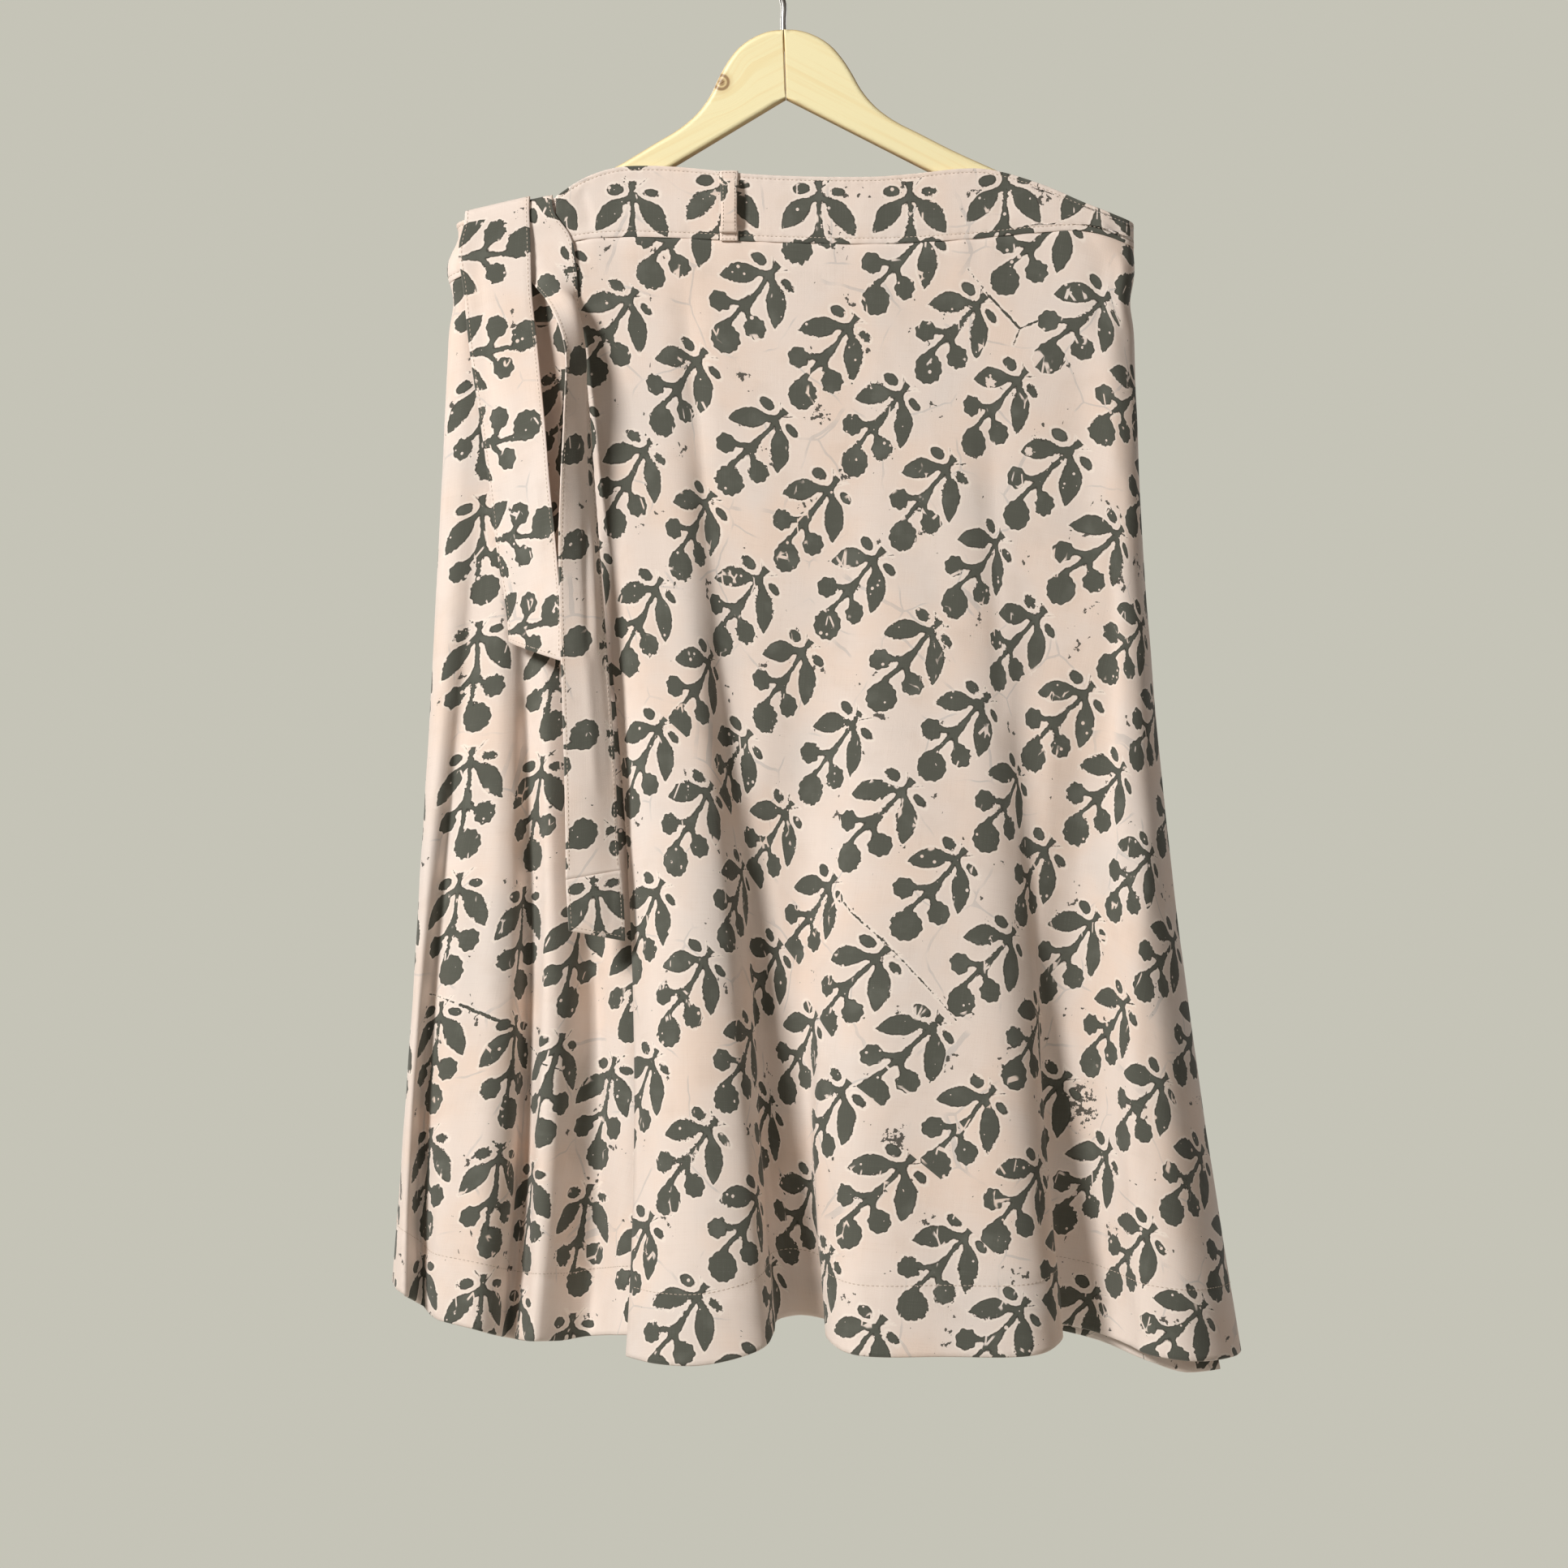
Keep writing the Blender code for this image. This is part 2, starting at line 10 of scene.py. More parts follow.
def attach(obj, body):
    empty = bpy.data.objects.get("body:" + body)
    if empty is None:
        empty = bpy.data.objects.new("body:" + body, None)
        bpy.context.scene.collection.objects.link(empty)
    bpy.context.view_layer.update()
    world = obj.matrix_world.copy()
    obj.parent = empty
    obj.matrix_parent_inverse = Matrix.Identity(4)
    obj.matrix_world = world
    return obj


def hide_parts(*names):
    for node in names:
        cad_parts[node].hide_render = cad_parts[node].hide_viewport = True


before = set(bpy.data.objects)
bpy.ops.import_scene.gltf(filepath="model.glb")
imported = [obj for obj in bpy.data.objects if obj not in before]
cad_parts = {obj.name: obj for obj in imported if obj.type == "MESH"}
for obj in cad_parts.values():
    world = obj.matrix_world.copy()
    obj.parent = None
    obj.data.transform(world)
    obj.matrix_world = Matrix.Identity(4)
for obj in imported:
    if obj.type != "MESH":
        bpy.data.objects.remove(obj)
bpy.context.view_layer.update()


# ---------------- pine hanger
# Two mitred halves of planed pine, 12 mm thick, glued at the middle and tilted a little on the hook.
# The edges are rounded over and the whole is dipped in a thin clear varnish. Painted shade darkens the
# rounded edges and narrow sides to amber, wherever the wood turns away from front and back; one small
# knot shows on the left half.
MM = 0.001
HANGER_HALF = 224.4       # middle of the hanger to its tip
HANGER_THICK = 12.0
TILTED = Matrix.Rotation(math.radians(-2.1), 4, "Y")      # right arm up
JOINT_GAP = 0.3
ARM_TOP = (
    (0, -70.4), (8, -70.8), (18.5, -74), (30, -81.2), (38.5, -91.3), (44.3, -101), (50, -112),
    (59, -123.6), (70.5, -133), (88, -142.8), (108, -154), (141, -170.5), (178, -189.8), (204, -204),
)
NOTCH = -116.2            # underside of the hanger at its middle
ARM_FALL = 0.555          # fall of the underside for each step out
TIP_ROUND = 20.0
WOOD_EDGE = 3.2           # rounding of the wood's edges
KNOT = (-38.7, -105.7)    # x and z of the knot
PINE = (0.96, 0.86, 0.52)
PINE_LATE = (0.90, 0.70, 0.34)
# painted shade on the rounded edges and narrow sides, and the darker wood round the knot
PINE_SHADE_AND_KNOT_AMBER = (0.62, 0.37, 0.13)
KNOT_BROWN = (0.20, 0.085, 0.03)


class Port:
    """What a node gives out. Sums and products on it add their Math nodes."""

    def __init__(self, finish, socket):
        self.finish = finish
        self.socket = socket

    def math(self, operation, *others, clamp=False):
        settings = {"operation": operation, "use_clamp": clamp}
        return self.finish.node("ShaderNodeMath", settings, dict(enumerate((self, *others))))

    def vector(self, operation, *others, out=0):
        settings = {"operation": operation}
        return self.finish.node("ShaderNodeVectorMath", settings, dict(enumerate((self, *others))), out)

    __add__ = __radd__ = partialmethod(math, "ADD")
    __sub__ = partialmethod(math, "SUBTRACT")
    __mul__ = __rmul__ = partialmethod(math, "MULTIPLY")
    least = partialmethod(math, "MINIMUM")
    most = partialmethod(math, "MAXIMUM")
    merged = partialmethod(math, "SMOOTH_MIN")
    over = partialmethod(math, "GREATER_THAN")
    under = partialmethod(math, "LESS_THAN")
    clamped = partialmethod(math, "MULTIPLY", 1.0, clamp=True)
    dot = partialmethod(vector, "DOT_PRODUCT", out="Value")
    length = partialmethod(vector, "LENGTH", out="Value")
    times = partialmethod(vector, "MULTIPLY")

    def __rsub__(self, other):
        return self.finish.node("ShaderNodeMath", {"operation": "SUBTRACT"}, {0: other, 1: self})

    def other(self, name):
        return Port(self.finish, self.socket.node.outputs[name])

    def part(self, axis):
        return self.finish.node("ShaderNodeSeparateXYZ", {}, {0: self}, axis)

    def between(self, low, high):
        """0 at low, 1 at high, with a soft start and end."""
        settings = {"interpolation_type": "SMOOTHSTEP"}
        return self.finish.node("ShaderNodeMapRange", settings, {0: self, 1: low, 2: high})


class Finish:
    """One material. Each node is added with its settings first and then what feeds its sockets."""

    def __init__(self, name):
        self.material = bpy.data.materials.new(name)
        self.material.use_nodes = True
        self.tree = self.material.node_tree
        self.tree.nodes.clear()

    def node(self, kind, settings, feeds, out=0):
        made = self.tree.nodes.new(kind)
        for key, value in settings.items():
            setattr(made, key, value)
        for key, value in feeds.items():
            if isinstance(value, Port):
                self.tree.links.new(value.socket, made.inputs[key])
            elif made.inputs[key].type == "RGBA":
                made.inputs[key].default_value = (*value, 1.0)
            else:
                made.inputs[key].default_value = value
        return Port(self, made.outputs[out])

    def mix(self, colour, *layers):
        """The colour with others laid over it one by one, each by its share."""
        settings = {"data_type": "RGBA", "clamp_factor": True}
        for other, share in layers:
            colour = self.node("ShaderNodeMix", settings, {0: share, 6: colour, 7: other}, 2)
        return colour

    def place(self, *parts):
        return self.node("ShaderNodeCombineXYZ", {}, dict(enumerate(parts)))

    def own_place(self):
        return self.node("ShaderNodeTexCoord", {}, {}, "Object")

    def noise(self, at, scale, detail, out=0):
        feeds = {"Vector": at, "Scale": scale, "Detail": detail}
        return self.node("ShaderNodeTexNoise", {}, feeds, out)

    def cells(self, at, scale, feature="F1"):
        feeds = {"Vector": at, "Scale": scale, "Randomness": 1.0}
        return self.node("ShaderNodeTexVoronoi", {"feature": feature}, feeds)

    def bump(self, height, distance, strength):
        feeds = {"Height": height, "Distance": distance, "Strength": strength}
        return self.node("ShaderNodeBump", {}, feeds)

    def surface(self, feeds):
        shader = self.node("ShaderNodeBsdfPrincipled", {}, feeds)
        end = self.tree.nodes.new("ShaderNodeOutputMaterial")
        self.tree.links.new(shader.socket, end.inputs["Surface"])


def hermite(start, end, leave, arrive, f):
    """The cubic from start to end that leaves and arrives with these slopes."""
    near = start * (2 * f**3 - 3 * f**2 + 1) + leave * (f**3 - 2 * f**2 + f)
    return near + end * (3 * f**2 - 2 * f**3) + arrive * (f**3 - f**2)


def curve_through(points, per):
    """A smooth line through the points, `per` steps from one to the next, for uneven steps."""
    points = np.asarray(points, float)
    gaps = points[..., 1:, :] - points[..., :-1, :]
    step = np.maximum(np.linalg.norm(gaps, axis=-1, keepdims=True), 1e-6)
    chord = gaps / step
    slope = np.empty_like(points)
    slope[..., 0, :] = chord[..., 0, :]
    slope[..., -1, :] = chord[..., -1, :]
    before, after = step[..., :-1, :], step[..., 1:, :]
    slope[..., 1:-1, :] = (chord[..., :-1, :] * after + chord[..., 1:, :] * before) / (before + after)
    f = (np.arange(per) / per)[:, None]
    start, end = points[..., :-1, None, :], points[..., 1:, None, :]
    leave = (slope[..., :-1, :] * step)[..., None, :]
    arrive = (slope[..., 1:, :] * step)[..., None, :]
    fine = hermite(start, end, leave, arrive, f)
    fine = fine.reshape(*points.shape[:-2], -1, points.shape[-1])
    return np.concatenate([fine, points[..., -1:, :]], axis=-2)


def unit(vectors):
    return vectors / np.maximum(np.linalg.norm(vectors, axis=-1, keepdims=True), 1e-9)


def ring_faces(count, sides, first=0):
    """Faces between rings of points, one ring after another, and a face across each end."""
    last = first + (count - 1) * sides
    faces = []
    for ring in range(first, last, sides):
        for i in range(sides):
            a, b = ring + i, ring + (i + 1) % sides
            faces.append((a, b, b + sides, a + sides))
    return faces + [tuple(range(first, first + sides))[::-1], tuple(range(last, last + sides))]


def show(thing):
    bpy.context.scene.collection.objects.link(thing)
    return thing


def make_piece(name, points, faces, material):
    mesh = bpy.data.meshes.new(name)
    mesh.from_pydata((np.asarray(points) * MM).tolist(), [], [tuple(map(int, f)) for f in faces])
    mesh.polygons.foreach_set("use_smooth", [True] * len(mesh.polygons))
    mesh.materials.append(material)
    return show(bpy.data.objects.new(name, mesh))


def settle(piece, slot_name, *nodes):
    """The piece rides on the one body and stands for these CAD nodes. Its slot_name is not used."""
    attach(piece, "root")
    if nodes:
        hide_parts(*nodes)


def arm_outline():
    """One arm in x and z from the middle joint round its tip and back along the underside."""
    top = curve_through(ARM_TOP, 3)
    fall = np.array((1, -ARM_FALL)) / math.hypot(1, ARM_FALL)
    low_x = HANGER_HALF - TIP_ROUND
    low = np.array((low_x, NOTCH - ARM_FALL * low_x))
    tip = np.array((HANGER_HALF, (top[-1, 1] + low[1]) / 2 - 4))
    up = np.array((0, TIP_ROUND * 0.3))
    s = np.linspace(0, 1, 9)[1:, None]

    def bend(a, b, c, d):
        return a * (1 - s) ** 3 + 3 * b * s * (1 - s) ** 2 + 3 * c * s**2 * (1 - s) + d * s**3

    upper = bend(top[-1], top[-1] + fall * TIP_ROUND * 0.6, tip + up, tip)
    lower = bend(tip, tip - up, low + fall * TIP_ROUND * 0.6, low)
    under = low + (np.array((0, NOTCH)) - low) * np.linspace(0, 1, 30)[1:, None]
    joint = np.stack([np.zeros(7), np.linspace(NOTCH, ARM_TOP[0][1], 9)[1:-1]], axis=-1)
    return np.concatenate([top, upper, lower, under, joint])


def build_arm(name, side, material):
    """The outline drawn in by steps towards both faces, so that its edges are rounded over."""
    line = arm_outline()
    along = unit(np.roll(line, -1, axis=0) - np.roll(line, 1, axis=0))
    out = np.stack([-along[:, 1], along[:, 0]], axis=-1)
    corner = (np.abs(line[:, 0]) < 0.01) & (line[:, 1] < NOTCH + 0.01)
    out[corner] = (-0.6, -0.8)
    half = HANGER_THICK / 2
    turns = np.radians((90, 72, 54, 36, 18, 0))
    places = [(WOOD_EDGE * (1 - math.cos(a)), -half + WOOD_EDGE * (1 - math.sin(a))) for a in turns]
    places += [(p, -y) for p, y in places[::-1]]
    rings = []
    for drawn, y in places:
        ring = line - out * drawn * np.where(line[:, :1] > 1.0, 1.0, 0.35)
        ring[:, 0] = np.maximum(ring[:, 0], JOINT_GAP / 2)
        rings.append(np.stack([side * ring[:, 0], np.full(len(ring), y), ring[:, 1]], axis=-1))
    faces = ring_faces(len(rings), len(line))
    if side < 0:
        faces = [f[::-1] for f in faces]
    arm = make_piece(name, np.concatenate(rings), faces, material)
    arm.data.transform(TILTED)
    for face in arm.data.polygons[len(faces) - 2:]:
        face.use_smooth = False
    return arm


def pine_finish(name, side):
    """Fine grain along the arm, darker late wood, painted shade as darker amber on the edges, and one knot.
    """
    paint = Finish(name)
    at = paint.own_place()
    fall = math.atan(ARM_FALL * 0.92) * side
    lengthwise = at.dot((math.cos(fall) * 1000, 0, -math.sin(fall) * 1000))
    across = at.dot((math.sin(fall) * 1000, 0, math.cos(fall) * 1000))
    deep = at.dot((0, 1000, 0))
    knot = at.vector("SUBTRACT", (KNOT[0] * MM, 0, KNOT[1] * MM)).times((1000, 0, 1000)).length()
    swerve = knot.between(26, 3) * 5
    grain_at = paint.place(lengthwise * 0.012, across * 0.55 + swerve, deep * 0.4)
    broad = paint.noise(grain_at, 0.55, 3)
    fine = paint.noise(grain_at.times((2.5, 5, 5)), 1.0, 4)
    late = broad.between(0.48, 0.70) * 0.38 + fine.between(0.55, 0.85) * 0.22
    # painted shade: darker amber where the wood turns away from front and back, on its rounded edges and
    # narrow sides
    facing = paint.node("ShaderNodeNewGeometry", {}, {}, "Normal")
    edge = facing.dot((0, 1, 0)).math("ABSOLUTE").between(0.97, 0.35)
    ring = knot.between(6.2, 5.0) - knot.between(4.2, 3.0)
    heart = knot.between(3.4, 1.2) * fine.between(0.2, 0.6)
    paint.surface({
        "Base Color": paint.mix(
            PINE, (PINE_LATE, late), (PINE_SHADE_AND_KNOT_AMBER, edge * 0.62), (PINE_SHADE_AND_KNOT_AMBER, knot.between(10, 4) * 0.45),
            (KNOT_BROWN, (ring * 0.75).most(heart * 0.9)),
        ),
        "Roughness": 0.38 + fine * 0.18,
        "Normal": paint.bump(fine + broad, 0.0002, 0.35),
        "Coat Weight": 0.18,
        "Coat Roughness": 0.25,
    })
    return paint.material


for arm_side, hand in ((-1, "left"), (1, "right")):
    arm_name = "hanger_arm_" + hand
    wood = pine_finish(arm_name + "_pine", arm_side)
    settle(build_arm(arm_name, arm_side, wood), "pine", "hanger_" + hand)


# ---------------- steel hook
# 4 mm bright steel wire, threaded into the joint of the two halves: a straight stem, a short swan
# neck and three quarters of a circle, bent cold. It has fine drawing lines along the wire.
WIRE = 4.0
HOOK_INSIDE = 20.0        # inner radius of the hook
STEM_AND_NECK = (
    (0, -84), (0, -66), (0, -50), (-1.6, -46.4), (-6.6, -43), (-12.6, -39.4), (-17.2, -34.8),
)
STEEL = (0.50, 0.49, 0.47)
STEEL_DARK = (0.36, 0.35, 0.33)


def tube_along(name, line, radius, sides, material):
    """A round wire along a flat line in x and z, with closed, slightly rounded ends."""
    along = unit(np.gradient(line, axis=0))
    out = np.stack([along[:, 1], -along[:, 0]], axis=-1)
    turns = np.arange(sides) * 2 * math.pi / sides
    rings = []
    for k, (place, normal) in enumerate(zip(line, out)):
        r = radius * (0.55 if k in (0, len(line) - 1) else 1.0)
        flat = place + normal * (r * np.cos(turns))[:, None]
        rings.append(np.stack([flat[:, 0], r * np.sin(turns), flat[:, 1]], axis=-1))
    faces = [f[:1] + f[:0:-1] if len(f) == 4 else f[::-1] for f in ring_faces(len(rings), sides)]
    return make_piece(name, np.concatenate(rings), faces, material)


paint = Finish("drawn_steel")
drawn = paint.noise(paint.own_place().times((900, 900, 60)), 1.0, 3)
paint.surface({
    "Base Color": paint.mix(STEEL, (STEEL_DARK, drawn.between(0.45, 0.8) * 0.5)),
    "Metallic": 1.0,
    "Roughness": 0.22 + drawn * 0.2,
    "Normal": paint.bump(drawn, 0.00005, 0.4),
})
reach = HOOK_INSIDE + WIRE / 2
crown = [(reach * math.cos(math.radians(a)), reach * math.sin(math.radians(a)) - HOOK_INSIDE)
         for a in range(205, -61, -19)]
hook = tube_along("hanger_wire_hook", curve_through(STEM_AND_NECK + tuple(crown), 5), WIRE / 2, 16,
                  paint.material)
hook.data.transform(TILTED)
settle(hook, "steel", "hanger_hook")


# ---------------- the three panels
# Light plain-woven cotton, hand block-printed and then cut: a back panel, an inner wrap and an outer
# wrap, flared from waist to hem. Their side seams, waist seam and 43 mm turned hem are machine sewn.
# Off its hanger the skirt is one long strip, wound one and a half turns.
LEVELS = (0.0, 0.30, 0.65, 1.0)        # waist seam, hip, knee, hem
SKIRT_LONG = 733.0        # waist seam to hem, about
HEM_TURN = 0.0587         # share of that length which is turned up for the hem
WAIST_DROP = 0.5          # the panels' top edge lies this far below the band's seam line
CLOTH = 0.9               # one layer, with its nap
TURNED_HEM = 2.0          # two layers, along the hem
COLUMN_STEP = 3.0         # from one mesh column to the next
ROW_COUNT = 206           # mesh rows from waist seam to hem
HEM_ROWS = 16             # those of them on the turned hem
INNER_REST = (11.0, 12.5, 14.5, 17.0)
OUTER_REST = (14.0, 16.0, 19.5, 22.0)
BACK_REST = (11.0, 13.0, 17.0, 22.0)

# Line: a line down the cloth, with x and y at the four levels and the height of the hem there.
Line = namedtuple("Line", "x y hem")
# Flute: a fold that stands out of the rest plane: its middle and half width in x at the four
# levels, how far it stands out there, its hem's height, and how much higher its feet hang.
Flute = namedtuple("Flute", "middle half out hem lift")
# Flat: a line in the rest plane between two flutes.
Flat = namedtuple("Flat", "x hem")

# Across a flute: where its lines lie, in half widths from its middle, and how far out they are.
FLUTE_FORM = ((-1.0, 0.05), (-0.62, 0.72), (0.0, 1.0), (0.62, 0.72), (1.0, 0.05))
LEFT_SEAM = Line((-218.5, -228, -241, -258), (0, 0, 2, 6), -902)
RIGHT_SEAM = Line((235.4, 243, 268, 305), (0, 0, -2, -12), -945)
INNER_WRAP = (
    Line((-216, -226, -240.5, -256), (-7.5, -9, -9, -9), -904),
    Line((-213.2, -222, -239, -252), (-9.8, -12, -17.5, -25), -905.5),
    Line((-210, -216, -235, -247), (-11, -14.5, -22, -32), -907),
    Line((-205, -209, -231, -242), (-11, -13.5, -17, -22), -911),
    Line((-201, -204, -227.5, -237), (-11, -12, -9, -7), -917.5),
    Line((-197, -200, -222, -231), (-11, -12.2, -13.5, -20), -922),
    Line((-193, -195, -215, -225), (-11, -13.2, -20, -31), -923.7),
    Line((-188, -189, -201, -212), (-11, -14.8, -25, -38), -926),
    Line((-182, -183, -186, -197), (-11, -15.5, -28, -42), -929),
    Line((-176, -177, -177, -189), (-11, -13.5, -24, -34), -932.4),
    Line((-170, -169, -167, -180), (-11, -10, -4, -6), -938.7),
    Line((-165, -163.5, -159, -171), (-11, -11, -15, -23), -937.8),
    Line((-159, -157, -151, -161), (-11, -13, -27, -38), -936.6),
    Line((-154, -151, -143, -152), (-11, -12.7, -22, -31), -937.5),
    Line((-149, -147, -134, -141), (-11, -12.5, -14, -17), -938.9),
    Line((-143, -140, -124, -128), (-11, -12.5, -9.5, -9), -937.3),
    Flute((-112, -104, -88, -80), (25, 29, 30, 38), (0, 3, 10, 34), -930.5, -5),
    Flat((-10, 0, 10, 16), -914),
    Flute((91, 98, 106, 104), (24, 32, 42, 54), (0, 2, 14, 36), -924, -4),
    Flat((160, 172, 188, 208), -938),
    Line((186, 210, 226, 241), (-11, -15, -22, -40), -949),
    Line((192, 220, 240, 262), (-11, -16, -30, -62), -953),
    Line((198, 228, 252, 288), (-11, -14, -24, -48), -953.5),
)
BACK = (
    Line((-216, -225, -237, -251), (7.5, 9, 13, 20), -907),
    Flute((-150, -158, -168, -182), (25, 30, 36, 44), (0, 5, 20, 40), -924, 8),
    Flat((-95, -98, -100, -104), -916),
    Flute((-40, -42, -46, -50), (24, 30, 38, 46), (0, 4, 22, 46), -929, 8),
    Flat((18, 20, 20, 18), -918),
    Flute((78, 84, 92, 98), (25, 32, 40, 48), (0, 5, 18, 38), -930, 7),
    Flat((132, 142, 155, 168), -924),
    Flute((184, 194, 210, 232), (22, 26, 32, 40), (0, 4, 18, 36), -937, 6),
    Line((232.5, 240, 262, 298), (9, 10, 14, 12), -943),
)
OUTER_WRAP = (
    Line((-148, -117, -97, -100), (-14, -20, -34, -62), -943),
    Line((-132, -104, -84, -80), (-14, -24, -50, -80), -945),
    Line((-108, -82, -62, -50), (-14, -26, -58, -88), -945),
    Line((-86, -60, -34, -10), (-14, -25, -53, -80), -935),
    Line((-76, -51, -26, -3), (-14, -21, -36, -54), -929),
    Line((-66, -42, -20, 2), (-14, -17, -19, -25), -923),
    Flat((-20, -10, -6, 13), -921.5),
    Line((30, 26, 14, 33), (-14, -16.2, -20.5, -25), -925),
    Line((48, 46, 30, 30), (-14, -17.5, -31, -54), -931),
    Line((64, 62, 47, 42), (-14, -19.5, -42, -81), -937.3),
    Line((90, 98, 104, 106), (-14, -20, -46.5, -90), -939),
    Line((115.7, 133, 152.7, 172.4), (-14, -19.5, -42.4, -81.8), -937.3),
    Line((123, 142, 163, 185), (-14, -18, -32.5, -56), -932),
    Line((130.3, 150, 167.6, 182.6), (-14, -16.4, -22, -27), -926.4),
    Flat((172, 182, 196, 206), -932),
    Line((204, 216, 219, 228), (-14, -19, -27, -46), -938),
    Line((213, 225, 228, 238), (-14, -21, -35, -66), -941),
    Line((222, 233, 243, 265), (-12.5, -19, -37, -75), -944),
    Line((232.5, 241, 260, 298), (-8.5, -10, -22, -46), -945),
)

# The waistband's two edges: their heights at places along x.
Edge = namedtuple("Edge", "x top seam")
BAND_EDGES = [Edge(*row) for row in (
    (-219, -200, -238), (-190, -193, -226), (-166, -187.5, -219), (-151, -184, -215),
    (-126, -168.5, -209.5), (-108, -163.5, -208.5), (0, -169, -212), (66, -169.5, -213),
    (143, -165, -208.5), (173, -174.5, -205.5), (205, -188, -205), (237, -200, -215),
)]

# The hanger's tips press the side of the skirt out, and it falls in above and just below them.
Press = namedtuple("Press", "side height out reach")
TIP_PRESS = (
    Press(-1, -207, -6.0, 11),
    Press(-1, -231, 3.0, 12),
    Press(-1, -252, -2.5, 13),
    Press(1, -231, 0.8, 12),
    Press(1, -252, -2.5, 13),
)


def at_levels(values, t):
    """The cubic through four values that stand at LEVELS."""
    total = 0.0
    for i, value in enumerate(values):
        share = 1.0
        for j, level in enumerate(LEVELS):
            if j != i:
                share = share * (t - level) / (LEVELS[i] - level)
        total = total + value * share
    return total


def spread(rows, side, rest):
    """Turns fold rows into lines, for the layer on one side (-1 front, 1 back) at its rest."""
    lines = []
    for row in rows:
        if isinstance(row, Line):
            lines.append(row)
        elif isinstance(row, Flat):
            lines.append(Line(row.x, tuple(side * r for r in rest), row.hem))
        else:
            for place, share in FLUTE_FORM:
                x = tuple(m + place * h for m, h in zip(row.middle, row.half))
                y = tuple(side * (r + share * o) for r, o in zip(rest, row.out))
                lines.append(Line(x, y, row.hem + (1 - share) * row.lift))
    return lines


def band_edge(x, part):
    """Height of one edge of the waistband at x, on a smooth line through BAND_EDGES."""
    places = [edge.x for edge in BAND_EDGES]
    heights = [getattr(edge, part) for edge in BAND_EDGES]
    x = min(max(x, places[0]), places[-1])
    k = max(i for i, place_x in enumerate(places[:-1]) if place_x <= x)
    falls = [(b - a) / (q - p) for a, b, p, q in zip(heights, heights[1:], places, places[1:])]
    step = places[k + 1] - places[k]
    leave = (falls[max(k - 1, 0)] + falls[k]) / 2 * step
    arrive = (falls[k] + falls[min(k + 1, len(falls) - 1)]) / 2 * step
    return hermite(heights[k], heights[k + 1], leave, arrive, (x - places[k]) / step)


def tip_push(x, height):
    """How far a place near either side is moved along x by the hanger's tip."""
    near = np.clip((np.abs(x) - 195) / 25, 0, 1) ** 2
    push = 0.0
    for press in TIP_PRESS:
        share = np.exp(-(((height - press.height) / press.reach) ** 2))
        push = push + press.out * share * (x * press.side > 0)
    return near * push * np.sign(x)


def hang_rows(lines, levels):
    """Points of the fold lines at each level, from the waist seam (0) down to the hem (1)."""
    rows = []
    for t in levels:
        x = np.array([at_levels(line.x, t) for line in lines])
        y = np.array([at_levels(line.y, t) for line in lines])
        seam = np.array([band_edge(line.x[0], "seam") for line in lines]) - WAIST_DROP * (1 - t)
        z = seam + t * (np.array([line.hem for line in lines]) - seam)
        rows.append(np.stack([x + tip_push(x, z), y, z], axis=-1))
    return np.array(rows)


def run_along(grid, axis=0):
    """Distance from the first point along each column (axis 0) or each row (axis 1) of a grid."""
    run = np.cumsum(np.linalg.norm(np.diff(grid, axis=axis), axis=-1), axis=axis)
    return np.concatenate([run.take([0], axis) * 0, run], axis=axis)


def even_columns(grid, step):
    """The grid cut again into columns that are evenly spaced on average."""
    run = np.linalg.norm(np.diff(grid, axis=1), axis=2).mean(axis=0)
    place = np.concatenate([[0], np.cumsum(run)])
    want = np.linspace(0, place[-1], int(round(place[-1] / step)) + 1)
    index = np.interp(want, place, np.arange(len(place)))
    low = np.minimum(index.astype(int), len(place) - 2)
    f = (index - low)[None, :, None]
    return grid[:, low] * (1 - f) + grid[:, low + 1] * f


def outward(grid):
    """Unit normals of a grid whose rows run to the right, seen from outside, one below another."""
    return unit(np.cross(np.gradient(grid, axis=0), np.gradient(grid, axis=1)))


def lay_flat(grid, follow):
    """The panel's cut, in millimetres: u to the right and v up from the left end of its top edge.

    `follow` is how far the rows between waist and hem keep their own length across, folds included."""
    across = np.linalg.norm(np.diff(grid, axis=1), axis=2)
    waist, hem = across[0], across[-1]
    down = run_along(grid)
    fan = np.concatenate([[0], np.cumsum((hem - waist) / down[-1].mean())])
    middle = (fan[1:] + fan[:-1]) / 2
    base = np.cumsum(np.stack([waist * np.cos(middle), waist * np.sin(middle)], axis=-1), axis=0)
    base = np.concatenate([[[0.0, 0.0]], base])
    away = np.stack([np.sin(fan), -np.cos(fan)], axis=-1)
    aside = np.stack([np.cos(fan), np.sin(fan)], axis=-1)
    straight = waist + (hem - waist) * (down / down[-1])[:, 1:]
    drift = np.concatenate([np.zeros((len(grid), 1)), np.cumsum(across - straight, axis=1)], axis=1)
    return base[None] + down[..., None] * away[None] + follow * drift[..., None] * aside[None], down


# Crease: a soft trough (depth below 0) or ridge (above 0) in the cloth, on the flat cut: from u and
# distance down from the waist seam, to u and distance down; its half width, its height in the middle,
# and how much steeper its right side is than its left.
Crease = namedtuple("Crease", "u down to_u to_down width height lean")


def creases(*rows):
    return [Crease(*row) for row in rows]


def crease_height(u, down, creases):
    total = np.zeros_like(u)
    for c in creases:
        run = np.array((c.to_u - c.u, c.to_down - c.down), float)
        length = np.hypot(*run)
        run /= length
        s = ((u - c.u) * run[0] + (down - c.down) * run[1]) / length
        side = (u - c.u) * run[1] - (down - c.down) * run[0]
        wide = c.width * np.where(side > 0, 1 / c.lean, c.lean)
        taper = np.clip(1.1 - np.abs(2 * s - 1) ** 3 * 1.1, 0, 1)
        fade = np.where((s > 0) & (s < 1), taper, 0)
        total += c.height * fade * np.exp(-((side / wide) ** 2))
    return total


